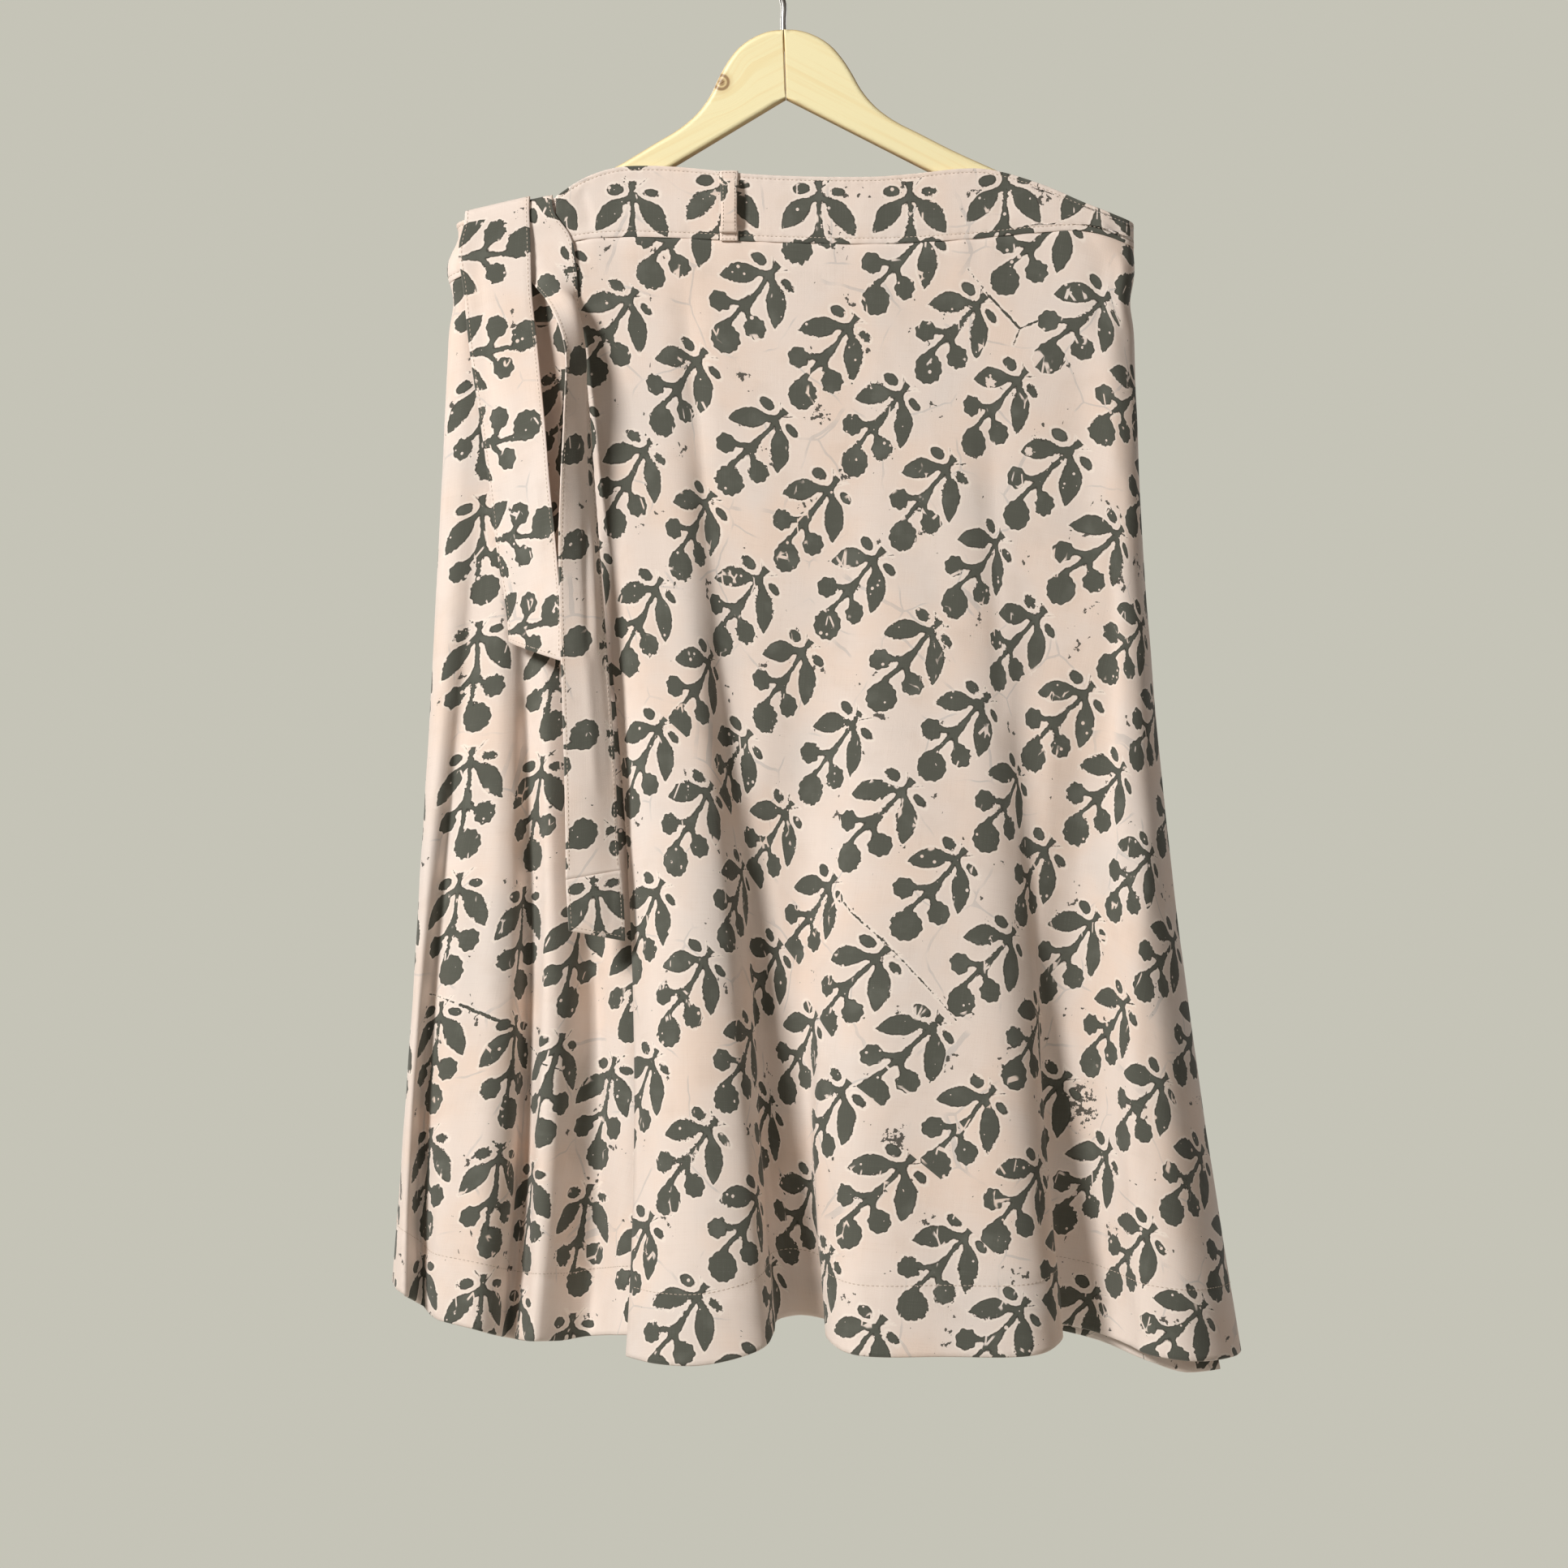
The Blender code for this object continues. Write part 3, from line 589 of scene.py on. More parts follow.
def hand_ripple(u, v, seed, height):
    """Slow unevenness of washed cotton: a few crossing waves, none in step with another."""
    waves = ((61, 23, 1.0), (43, -71, 0.8), (97, 131, 1.1), (29, 47, 0.45), (-37, 88, 0.6))
    total = 0.0
    for k, (across, along, share) in enumerate(waves):
        phase = seed * 1.7 + k * 2.1
        bend = 9 * np.sin(v / 83.0 + phase)
        total = total + share * np.sin((u + bend) / across * 2.4 + v / along * 2.4 + phase)
    return height * total / 2.2


def cloth_wall(name, outer, inner, cut, material):
    """A closed wall between two grids, its rim rounded, with its cut kept for the print."""
    rows, columns = outer.shape[:2]
    size = rows * columns
    index = np.arange(size).reshape(rows, columns)
    at = np.concatenate([index[0], index[1:, -1], index[-1, -2::-1], index[-2:0:-1, 0]])
    near = np.clip(at // columns, 1, rows - 2) * columns + np.clip(at % columns, 1, columns - 2)
    face, back, flat = outer.reshape(-1, 3), inner.reshape(-1, 3), cut.reshape(-1, 2)
    push = unit(face[at] - face[near])
    thick = np.linalg.norm(face[at] - back[at], axis=1, keepdims=True)
    middle = (face[at] + back[at]) / 2 + push * thick * 0.35
    a, b, c, d = index[:-1, :-1], index[:-1, 1:], index[1:, 1:], index[1:, :-1]
    to = np.roll(at, -1)
    mid = 2 * size + np.arange(len(at))
    mid_to = np.roll(mid, -1)
    faces = [(a, d, c, b), (a + size, b + size, c + size, d + size)]
    faces += [(at, to, mid_to, mid), (mid, mid_to, to + size, at + size)]
    faces = np.concatenate([np.stack(corners, axis=-1).reshape(-1, 4) for corners in faces])
    piece = make_piece(name, np.concatenate([face, back, middle]), faces, material)
    side = np.concatenate([np.zeros(size), np.ones(size), np.full(len(at), 0.5)])
    keep_cut(piece, np.column_stack([np.concatenate([flat, flat, flat[at]]), side]))
    return piece


def keep_cut(piece, cut):
    held = piece.data.attributes.new("cut", "FLOAT_VECTOR", "POINT")
    held.data.foreach_set("vector", cut.astype(np.float32).ravel())


# The block print. One sprig stands in each place of a lattice that lies on the cut at an angle.
# Layout: the angle of the sprigs, where the lattice starts, its two pitches, a number for the chance
# in it, how much each column drops from the one before, between which columns it does so, and from
# which row down the blocks were set over to the side and lower.
Layout = namedtuple(
    "Layout", "angle u v across along chance drop first last row over sink",
    defaults=(0, 0, 0, -99, 0, 0),
)
# On the cut too: Mark is a line that the block's edge left, Smear a patch of rubbed dye.
Mark = namedtuple("Mark", "u v to_u to_v half broken")
Smear = namedtuple("Smear", "u v reach")
GROUND = (0.84, 0.72, 0.645)
GROUND_WARM = (0.85, 0.655, 0.53)
GROUND_COOL = (0.735, 0.675, 0.635)
GROUND_STAIN = (0.63, 0.50, 0.41)
GROUND_HALO = (0.95, 0.85, 0.76)        # washed pale round the dye
SLUB_DARK = (0.60, 0.46, 0.36)
SLUB_LIGHT = (0.90, 0.80, 0.70)
CRACKLE = (0.42, 0.42, 0.42)
DYE = (0.096, 0.098, 0.079)
DYE_EDGE = (0.040, 0.038, 0.029)
DYE_THIN = (0.20, 0.205, 0.175)
SPRIG_SIZE = 0.97
BLOCK_OVERLAP = 10.0      # the set-over rows cover this much of the row above them


def off_line(at, x0, y0, x1, y1):
    """Distance to a straight line from one place to another, and the share of the way along it."""
    run = (x1 - x0, y1 - y0, 0)
    square = run[0] ** 2 + run[1] ** 2
    away = at.vector("SUBTRACT", (x0, y0, 0))
    share = away.dot((run[0] / square, run[1] / square, 0)).clamped()
    line = at.finish.node("ShaderNodeVectorMath", {"operation": "SCALE"}, {0: run, 3: share})
    return away.vector("SUBTRACT", line).length(), share


def sprig(paint, x, y):
    """Distance in millimetres to a sprig's edge, below 0 inside it; its middle is at 0, 0."""
    at = paint.place(x, y)

    def oval(cx, cy, rx, ry, lean=0.0):
        c, s = math.cos(math.radians(lean)), math.sin(math.radians(lean))
        long = (x * (c / rx)) + (y * (s / rx)) - (cx * c + cy * s) / rx
        short = (y * (c / ry)) - (x * (s / ry)) - (cy * c - cx * s) / ry
        both = paint.place(long, short)
        return (both.length() - 1) * min(rx, ry)

    def berry(cx, cy, radius, lobes, turn, depth):
        away = at.vector("SUBTRACT", (cx, cy, 0))
        angle = away.part("Y").math("ARCTAN2", away.part("X"))
        scallop = (angle * lobes + turn).math("COSINE") * depth
        return away.length() - scallop - radius

    def limb(x0, y0, x1, y1, start, end):
        off, share = off_line(at, x0, y0, x1, y1)
        return off - (share * (end - start) + start)

    def leaf(x0, y0, x1, y1, half, bow):
        run = math.hypot(x1 - x0, y1 - y0)
        ex, ey = (x1 - x0) / run, (y1 - y0) / run
        away = at.vector("SUBTRACT", (x0, y0, 0))
        s = away.dot((ex / run, ey / run, 0))
        swell = (s * (1 - s) * 4).most(0.0)
        side = away.dot((-ey, ex, 0)) - swell * bow
        early = (1.13 - s * 0.28) * swell.math("POWER", 0.82)
        return (side.math("ABSOLUTE") - early * half).most(away.length() - run) * 0.85

    stem = limb(-2.2, -18, -1.0, 2, 1.5, 1.7).merged(oval(0.2, 4.0, 3.3, 8.0), 3.0)
    stem = stem.merged(limb(0.3, 9, 0, 31, 1.8, 1.6), 2.0)
    tip = limb(0, 31, 0.5, 41.5, 1.3, 3.0).most(y - 39.8)
    stem = stem.merged(tip, 1.5)
    shoulders = limb(0, 29.5, -9, 24.6, 2.1, 2.8).merged(limb(0, 29.5, 9, 24.2, 2.1, 2.8), 3.0)
    leaves = leaf(-5.5, 26.8, -25.0, 6.4, 7.1, -0.9).least(leaf(5.5, 27.4, 24.6, 2.6, 7.0, 1.2))
    left = limb(-1.0, 3, -8, -2.6, 2.6, 1.7).merged(limb(-8, -2.6, -13, -4.5, 1.7, 1.7), 1.5)
    left = left.merged(berry(-14.6, -8.4, 7.1, 7, 0.4, 0.45), 4.0)
    right = limb(0.8, 1, 6, -3.0, 2.4, 1.7).merged(limb(6, -3.0, 10.5, -3.2, 1.7, 1.8), 1.5)
    right = right.merged(berry(14.2, -6.6, 7.6, 8, 1.5, 0.42), 4.0)
    big = berry(3.6, -26.6, 10.2, 11, 0.8, 0.38).merged(limb(-2.6, -15, -1, -23, 1.8, 4.5), 4.0)
    buds = oval(-12.0, 34.0, 5.7, 3.8, 6).least(oval(13.2, 32.2, 5.3, 2.9, -6))
    whole = stem.merged(shoulders, 3.0).merged(leaves, 2.0)
    whole = whole.merged(left, 3.0).merged(right, 3.0).merged(big, 2.0)
    return whole.least(buds)


def printed_cotton(name, lay, marks=()):
    """Cream-pink cotton with its block print, thin spots, strays, crackle and weave."""
    paint = Finish(name)
    cut = paint.node("ShaderNodeAttribute", {"attribute_name": "cut"}, {}, "Vector")
    behind = cut.part("Z")
    flat = cut.times((1, 1, 0))
    c, s = math.cos(math.radians(lay.angle)), math.sin(math.radians(lay.angle))
    gx = flat.dot((c, -s, 0)) - lay.u
    gy = flat.dot((s, c, 0)) - lay.v

    def spots(scale, detail, low, high, *shift):
        """Patches on the cut, from 0 where the noise is low to 1 where it is high."""
        at = flat.vector("ADD", (*shift, 0)) if shift else flat
        return paint.noise(at, scale, detail).between(low, high)

    def nearest(place, pitch):
        return (place * (1 / pitch) + 0.5).math("FLOOR")

    def drop_of(column):
        return (column - lay.first).most(0.0).least(float(lay.last - lay.first)) * lay.drop

    if lay.row > -99:
        lower = gy + drop_of(nearest(gx, lay.across))
        lower = lower.under((lay.row + 0.5) * lay.along + BLOCK_OVERLAP)
        gx = gx - lower * lay.over
        gy = gy + lower * lay.sink
    column = nearest(gx, lay.across)
    chance = paint.node("ShaderNodeTexWhiteNoise", {"noise_dimensions": "1D"}, {"W": column + lay.chance})
    gy = gy + drop_of(column) + (chance - 0.5) * 8
    row = nearest(gy, lay.along)
    place = paint.place(column, row, float(lay.chance))
    luck = paint.node("ShaderNodeTexWhiteNoise", {"noise_dimensions": "3D"}, {"Vector": place}, "Color")
    x = gx - column * lay.across + (luck.part("X") - 0.5) * 5
    y = gy - row * lay.along + (luck.part("Y") - 0.5) * 2
    turn = (luck.part("Z") - 0.5) * 0.10
    wobble = paint.noise(flat, 0.09, 1)
    edge = sprig(paint, (x + y * turn + (wobble - 0.5) * 2.8) * (1 / SPRIG_SIZE),
                 (y - x * turn) * (1 / SPRIG_SIZE))
    broken = spots(0.30, 2, 0.50, 0.60)
    smeared = None
    for mark in marks:
        if isinstance(mark, Mark):
            edge = edge.least(off_line(flat, *mark[:4])[0] - mark.half + broken * mark.broken)
        else:
            near = flat.vector("SUBTRACT", (mark.u, mark.v, 0)).length()
            near = near.between(mark.reach, mark.reach * 0.4)
            smeared = near if smeared is None else smeared.most(near)
    ragged = paint.noise(flat, 0.42, 3)
    frayed = spots(0.040, 1, 0.52, 0.66, 510, 20)
    edge = edge + (ragged - 0.5) * (frayed * 4.0 + 1.5) + (paint.noise(flat, 0.13, 1) - 0.5) * 1.3

    # where the dye is missing: pinholes, chips and flakes
    pins = paint.cells(flat, 0.24)
    patchy = spots(0.035, 1, 0.44, 0.62, 40, 170)
    pinholes = pins.under(pins.other("Color").part("X").between(0.50, 1.0) * (patchy * 0.26 + 0.06))
    chips = paint.cells(flat, 0.027)
    chip_luck = chips.other("Color").part("Y")
    chipped = (chips + (ragged - 0.5) * 0.20).under(chip_luck.between(0.52, 1.0) * 0.11)
    flakes = paint.cells(flat.times((1, 0.45, 0)), 0.11, "DISTANCE_TO_EDGE")
    flaked = flakes.under(0.045) * spots(0.055, 2, 0.60, 0.64, 7, 450)
    # where it is too much: clumps, strokes and smears
    crowd = spots(0.045, 1, 0.56, 0.74)
    clumps = paint.noise(flat.vector("ADD", (80, 15, 0)), 0.21, 5)
    slanted = paint.place(gx * 0.24 + gy * 0.10, gy * 0.07)
    strokes = (paint.noise(slanted, 1.0, 3) + crowd * 0.05).over(0.755)
    strays = (clumps + crowd * 0.17).over(0.735).most(strokes)
    if smeared is not None:
        shreds = (clumps * 0.75 + paint.noise(flat, 0.50, 2) * 0.30 + smeared * 0.15).over(0.68)
        strays = strays.most(shreds * smeared.over(0.02))
    inked = edge.between(0.26, -0.26)
    inked = (inked * (1 - pinholes.most(chipped).most(flaked))).most(strays * 0.92)

    weft = paint.noise(flat.times((0.035, 1.9, 0)), 1.0, 2)
    warp = paint.noise(flat.times((1.7, 0.03, 0)), 1.0, 2)
    slub = weft * 0.5 + warp * 0.5
    stain = spots(0.045, 5, 0.50, 0.72, 120, 630)
    halo = edge.between(1.9, 0.6) * edge.between(0.0, 0.45)
    veins_at = flat.vector("ADD", paint.noise(flat, 0.05, 2, "Color").times((7, 7, 0)))
    veins = paint.cells(veins_at, 0.017, "DISTANCE_TO_EDGE").under(0.010)
    ground = paint.mix(
        GROUND,
        (GROUND_WARM, spots(0.014, 4, 0.42, 0.66) * 0.55),
        (GROUND_COOL, spots(0.010, 4, 0.50, 0.68, 300, 90) * 0.42),
        (GROUND_STAIN, stain * 0.17),
        (SLUB_DARK, slub.between(0.52, 0.76) * 0.26),
        (SLUB_LIGHT, slub.between(0.48, 0.26) * 0.34),
        (GROUND_HALO, halo * 0.60),
        (CRACKLE, veins * spots(0.030, 2, 0.47, 0.60) * 0.36),
    )
    dye = paint.mix(
        DYE,
        (DYE_THIN, slub.between(0.50, 0.72) * 0.26),
        (DYE_THIN, stain * 0.30),
        (DYE_EDGE, edge.between(-1.1, -0.15) * 0.85),
    )
    weave = flat.dot((14.0, 0, 0)).math("SINE") * flat.dot((0, 14.0, 0)).math("SINE")
    nap = weave * 0.35 + slub * 2.2 + paint.noise(flat, 0.8, 2)
    paint.surface({
        "Base Color": paint.mix(ground, (dye, inked * (1 - behind * 0.52))),
        "Roughness": 0.86 + slub * 0.1,
        "Sheen Weight": 0.12,
        "Sheen Roughness": 0.6,
        "Specular IOR Level": 0.25,
        "Normal": paint.bump(nap, 0.00010, 0.55),
    })
    return paint.material


def flat_extent(cut):
    """Width, length and area of the cut, in metres."""
    wide, long = np.ptp(cut.reshape(-1, 2), axis=0) * MM
    a = cut[1:, 1:] - cut[:-1, :-1]
    b = cut[1:, :-1] - cut[:-1, 1:]
    area = np.abs(a[..., 0] * b[..., 1] - a[..., 1] * b[..., 0]).sum() / 2
    return (float(wide), float(long)), float(area * MM * MM)


Panel = namedtuple("Panel", "name node first last layout creases ripple marks follow")
inner_lines = spread(INNER_WRAP, -1, INNER_REST)
back_lines = spread(BACK, 1, BACK_REST)
outer_lines = spread(OUTER_WRAP, -1, OUTER_REST)
# Seen from outside, the strip runs to the right: outer wrap, right side, back, left side, inner wrap.
strip_lines = outer_lines + [RIGHT_SEAM] + back_lines[::-1] + [LEFT_SEAM] + inner_lines
PER = 10
right_seam = len(outer_lines) * PER
left_seam = (len(outer_lines) + 1 + len(back_lines)) * PER
hem_line = 1 - HEM_TURN
levels = np.concatenate([
    np.linspace(0, hem_line - 0.002, ROW_COUNT - HEM_ROWS),
    np.linspace(hem_line + 0.002, 1, HEM_ROWS),
])
strip_grid = curve_through(hang_rows(strip_lines, levels), PER)

OUTER_CREASES = creases(
    (84, 26, 100, 210, 9, -2.6, 1.3), (96, 150, 118, 400, 11, -2.2, 1.2),
    (60, 300, 52, 620, 26, 1.6, 0.9), (300, 110, 330, 330, 16, -2.4, 1.2),
    (352, 60, 392, 260, 12, -1.6, 1.2), (228, 380, 214, 640, 13, 2.0, 0.8),
    (180, 250, 168, 520, 22, -1.4, 1.0), (262, 330, 300, 560, 30, 1.8, 1.0),
    (395, 150, 430, 420, 9, -1.6, 1.0), (470, 380, 500, 640, 10, 1.5, 1.2),
    (372, 5, 388, 60, 5, 2.0, 0.8), (360, 8, 372, 80, 7, -1.6, 1.2),
    (124, 330, 126, 590, 14, 3.0, 1.5), (150, 350, 150, 600, 12, -2.2, 0.8),
    (372, 290, 402, 560, 14, 3.0, 1.5), (398, 290, 424, 560, 12, -2.2, 0.8),
)
INNER_CREASES = creases(
    (350, 20, 352, 300, 10, 0.8, 1.0), (395, 60, 420, 420, 9, -1.2, 1.0),
    (150, 380, 205, 680, 14, 3.0, 1.5), (176, 380, 230, 680, 12, -2.4, 0.8),
)
BACK_CREASES = creases(
    (60, 40, 52, 330, 12, -2.0, 1.2), (140, 20, 150, 260, 10, 1.8, 0.9),
    (205, 120, 212, 480, 16, -2.4, 1.1), (262, 40, 268, 230, 9, 1.6, 1.2),
    (330, 60, 352, 420, 14, -2.2, 1.0), (300, 330, 340, 600, 20, 1.8, 0.8),
    (410, 30, 436, 300, 11, 1.8, 1.2), (120, 380, 96, 640, 18, 1.6, 1.1),
    (452, 260, 506, 620, 14, -1.8, 0.9),
)
panels = (
    Panel("outer_wrap", "over_wrap", 0, right_seam,
          Layout(37, 122.2, 46.5, 59.2, 80, 3.0, 11.3, 1.5, 9, -4, 47, -2), OUTER_CREASES, 0.55,
          (Mark(275, -3, 291, -18, 0.35, 1.2), Mark(291, -18, 316, -37, 0.9, 0.4),
           Mark(316, -37, 330, -29, 0.75, 0.4), Mark(316, -37, 313, -48, 0.5, 0.5),
           Mark(229, -427, 258, -452, 0.6, 0.9), Mark(258, -452, 307, -499, 0.4, 1.1),
           Smear(437, -538, 22), Smear(276, -578, 12), Smear(177, -105, 9), Smear(414, -189, 8)), 0),
    Panel("back_cloth", "back_panel", right_seam, left_seam,
          Layout(-11, 34, 12, 61.5, 84, 11.0, 9, 1, 5), BACK_CREASES, 0.9,
          (Mark(300, -330, 372, -341, 0.5, 1.0), Smear(180, -520, 18), Smear(330, -240, 14)), 0),
    Panel("inner_wrap", "under_wrap", left_seam, strip_grid.shape[1] - 1,
          Layout(-3.3, 27.7, -23, 57.5, 84, 7.0, 12, 0, 12), INNER_CREASES, 0.35,
          (Mark(71, -489, 114, -504, 1.1, 0.4), Mark(114, -504, 128, -511, 0.8, 0.5),
           Mark(128, -511, 183, -527, 0.5, 1.1), Mark(40, -480, 71, -489, 0.3, 1.2)), 1),
)
cloth_faces = []
t = levels[:, None]
for panel in panels:
    grid = even_columns(strip_grid[:, panel.first:panel.last + 1], COLUMN_STEP)
    cut, down = lay_flat(grid, panel.follow)
    u, v = cut[..., 0], cut[..., 1]
    height = crease_height(u, down, panel.creases) + hand_ripple(u, v, len(panel.name), panel.ripple)
    height *= np.clip(down / 14, 0, 1)
    pucker = np.exp(-(((t - hem_line) * SKIRT_LONG / 4) ** 2))
    height += pucker * (-0.45 + 0.35 * np.sin(u / 2.9 + 1.3 * np.sin(u / 17.0)))
    gather = np.exp(-((down / 16) ** 2))
    height += gather * 0.35 * np.sin(u / 4.1 + 1.7 * np.sin(u / 23.0)) - np.exp(-((down / 3) ** 2)) * 0.5
    from_left = np.arange(u.shape[1])
    height *= np.clip(np.minimum(from_left, from_left[::-1]) / 3, 0, 1)
    outer = grid + outward(grid) * height[..., None]
    normals = outward(outer)
    inner = outer - normals * np.where(t > hem_line, TURNED_HEM, CLOTH)[..., None]
    finish = printed_cotton(panel.name + "_print", panel.layout, panel.marks)
    piece = cloth_wall(panel.name, outer, inner, cut, finish)
    settle(piece, "cotton", panel.node)
    size, area = flat_extent(cut)
    area = min(area, size[0] * size[1])
    cloth_faces.append((outer, normals))


# ---------------- hem stitching
# One row of machine stitches holds the turned hem, 43 mm above the edge. The thread is tan cotton,
# two plies, and each stitch pulls into a small dent.
THREAD = 0.26             # half the thread's thickness
STITCH = 2.4
STITCH_STEP = 3.15        # from one stitch to the next
# One stitch: share of its length, rise out of the cloth and thickness there, in half threads.
STITCH_FORM = np.array([
    (0, -1.2, 0.35), (0.18, 0.2, 0.9), (0.5, 0.6, 1.0), (0.82, 0.2, 0.9), (1, -1.2, 0.35),
])
THREAD_TAN = (0.50, 0.40, 0.32)
THREAD_PALE = (0.68, 0.58, 0.49)


def sew(name, seams, stitch, step):
    """Stitches along seams, each a line of places and the way out of the cloth there."""
    points, faces = [], []
    for places, normals in seams:
        run = run_along(places)
        for k in range(int(run[-1] // step)):
            reach = k * step + STITCH_FORM[:, 0] * stitch
            middle = np.stack([np.interp(reach, run, places[:, a]) for a in range(3)], axis=-1)
            out = unit(np.stack([np.interp(reach, run, normals[:, a]) for a in range(3)], axis=-1))
            aside = np.cross(unit(middle[-1] - middle[0]), out)
            faces += ring_faces(5, 6, len(points))
            for j, (_, rise, thick) in enumerate(STITCH_FORM * THREAD):
                for a in range(6):
                    turn = a * math.pi / 3
                    spoke = out[j] * math.sin(turn) + aside[j] * math.cos(turn)
                    points.append(middle[j] + out[j] * rise + spoke * thick)
    settle(make_piece(name, points, faces, thread), "cotton")


paint = Finish("tan_thread")
fibres = paint.noise(paint.own_place().times((2500, 2500, 2500)), 1.0, 2)
paint.surface({
    "Base Color": paint.mix(THREAD_TAN, (THREAD_PALE, fibres.between(0.35, 0.65))),
    "Roughness": 0.8,
    "Normal": paint.bump(fibres, 0.0001, 0.6),
})
thread = paint.material
hem_row = int(np.argmin(np.abs(levels - hem_line)))
hem_seams = [(outer[hem_row, 1:-1], normals[hem_row, 1:-1]) for outer, normals in cloth_faces]
sew("hem_stitches", hem_seams, STITCH, STITCH_STEP)


# ---------------- waistband
# One straight strip of the same cloth, folded double over the panels' top edge, so that its lower
# edge lies a little over the waist seam. It is topstitched 2.7 mm inside both edges.
BAND_THICK = 2.0
BAND_FACE = 0.33          # its outer face, in front of the strip's own plane
BAND_LIP = 1.1            # its lower edge below the waist seam
BAND_STITCH = 2.7
BAND_STEP = 1.8
# Height: a line along the band, by its share of the height, a rise in millimetres and how far out.
Height = namedtuple("Height", "share rise out")
outside_heights = [Height(0, -BAND_LIP + 0.15, -0.25), Height(0, -BAND_LIP - 0.05, 0.0)]
outside_heights += [Height(0, -BAND_LIP + 0.2, 0.28)]
outside_heights += [Height(0, rise, BAND_FACE) for rise in (0.2, 1.2, 1.9, 2.3, BAND_STITCH, 3.1, 3.5, 4.4)]
outside_heights += [Height(share, 0, BAND_FACE) for share in np.linspace(0.13, 0.87, 20)]
outside_heights += [Height(1, -rise, BAND_FACE) for rise in (4.4, 3.5, 3.1, BAND_STITCH, 2.3, 1.9, 1.1)]
outside_heights += [Height(1, -0.45, 0.24), Height(1, -0.1, 0.0)]
inside_heights = [Height(1, 0.05, -0.8), Height(1, -0.1, -1.6), Height(1, -0.5, -BAND_THICK + 0.1)]
inside_heights += [Height(share, 0, -BAND_THICK) for share in np.linspace(0.93, 0.07, 12)]
inside_heights += [Height(0, 0.9, -BAND_THICK + 0.1), Height(0, 0.5, -BAND_THICK + 0.6)]


def band_row(lines, share):
    """The strip at a share of the waistband's height, 0 at the waist seam and 1 at the top."""
    row = []
    for line in lines:
        seam, top = band_edge(line.x[0], "seam"), band_edge(line.x[0], "top")
        z = seam + share * (top - seam)
        row.append((line.x[0] + tip_push(line.x[0], z), line.y[0], z))
    return row


band_shares = np.linspace(0, 1, 9)
band_strip = curve_through(np.array([band_row(strip_lines, share) for share in band_shares[::-1]]), PER)
band_strip = even_columns(band_strip, BAND_STEP)
band_out = outward(band_strip)
band_run = run_along(band_strip[4])
band_tall = np.linalg.norm(band_strip[0] - band_strip[-1], axis=1)
BAND_CREASES = creases(
    (18, 6, 26, 36, 4, -1.0, 1.4), (376, 7, 371, 40, 4.5, -1.5, 1.6),
    (366, 8, 368, 38, 4.0, 1.2, 0.9), (386, 20, 379, 41, 4.0, 1.3, 1.0),
    (296, 4, 302, 30, 7, -0.7, 1.2), (205, 8, 214, 38, 9, 0.5, 1.0),
    (128, 10, 120, 36, 8, -0.5, 1.0), (480, 6, 486, 34, 8, -0.9, 1.2),
    (585, 10, 578, 38, 8, 0.8, 1.0), (690, 5, 700, 30, 9, -0.8, 1.2),
    (800, 8, 792, 36, 8, 0.8, 1.0), (980, 8, 990, 36, 9, -0.7, 1.2),
)


def band_ring(height, inside):
    """One line along the whole band at this height and distance out."""
    rise = height.share * band_tall + height.rise
    index = (1 - rise / band_tall) * (len(band_shares) - 1)
    low = np.clip(index.astype(int), 0, len(band_shares) - 2)
    f = (index - low)[:, None]
    columns = np.arange(len(band_run))
    place = band_strip[low, columns] * (1 - f) + band_strip[low + 1, columns] * f
    out = band_out[low, columns] * (1 - f) + band_out[low + 1, columns] * f
    soft = crease_height(band_run, band_tall - rise, BAND_CREASES)
    soft = soft + hand_ripple(band_run, rise * 2, 5, 0.22)
    stitches = (BAND_STITCH, band_tall - BAND_STITCH)
    dents = sum(np.exp(-(((rise - at) / 0.55) ** 2)) for at in stitches)
    stitched = sum(np.exp(-(((rise - at) / 3.2) ** 2)) for at in stitches)
    pucker = stitched * 0.13 * np.sin(band_run / 1.5 + 1.4 * np.sin(band_run / 11.0))
    push = height.out + soft * np.clip(np.minimum(rise, band_tall - rise) / 6, 0.1, 1)
    if not inside:
        push = push - dents * 0.24 + pucker
    ends = np.clip(np.minimum(band_run, band_run[-1] - band_run) / 3, 0, 1)
    push = height.out + (push - height.out) * ends
    fold_out = band_tall * 2 - rise if inside else rise
    cut = np.stack([band_run, fold_out, np.full(len(rise), float(inside))], axis=-1)
    return place + out * push[:, None], out, cut


rings = [band_ring(height, False) for height in outside_heights]
rings += [band_ring(height, True) for height in inside_heights]
band_index = np.arange(len(rings) * len(band_run)).reshape(len(rings), -1)
ahead = np.roll(band_index, -1, axis=0)
band_faces = np.stack([band_index[:, :-1], band_index[:, 1:], ahead[:, 1:], ahead[:, :-1]], axis=-1)
band_faces = [tuple(face) for face in band_faces.reshape(-1, 4)]
band_faces += [tuple(band_index[:, 0]), tuple(band_index[::-1, -1])]
band_print = printed_cotton("waistband_print", Layout(0, 54, 0.5, 61.4, 80, 19.0), (Smear(324, 22, 9),))
band = make_piece("waistband_cloth", np.concatenate([ring[0] for ring in rings]), band_faces, band_print)
keep_cut(band, np.concatenate([ring[2] for ring in rings]))
settle(band, "cotton", "waistband")
band_seams = [(places[2:-2], out[2:-2]) for height, (places, out, _) in zip(outside_heights, rings)
              if abs(height.rise) == BAND_STITCH]
sew("waistband_stitches", band_seams, 2.0, 2.9)


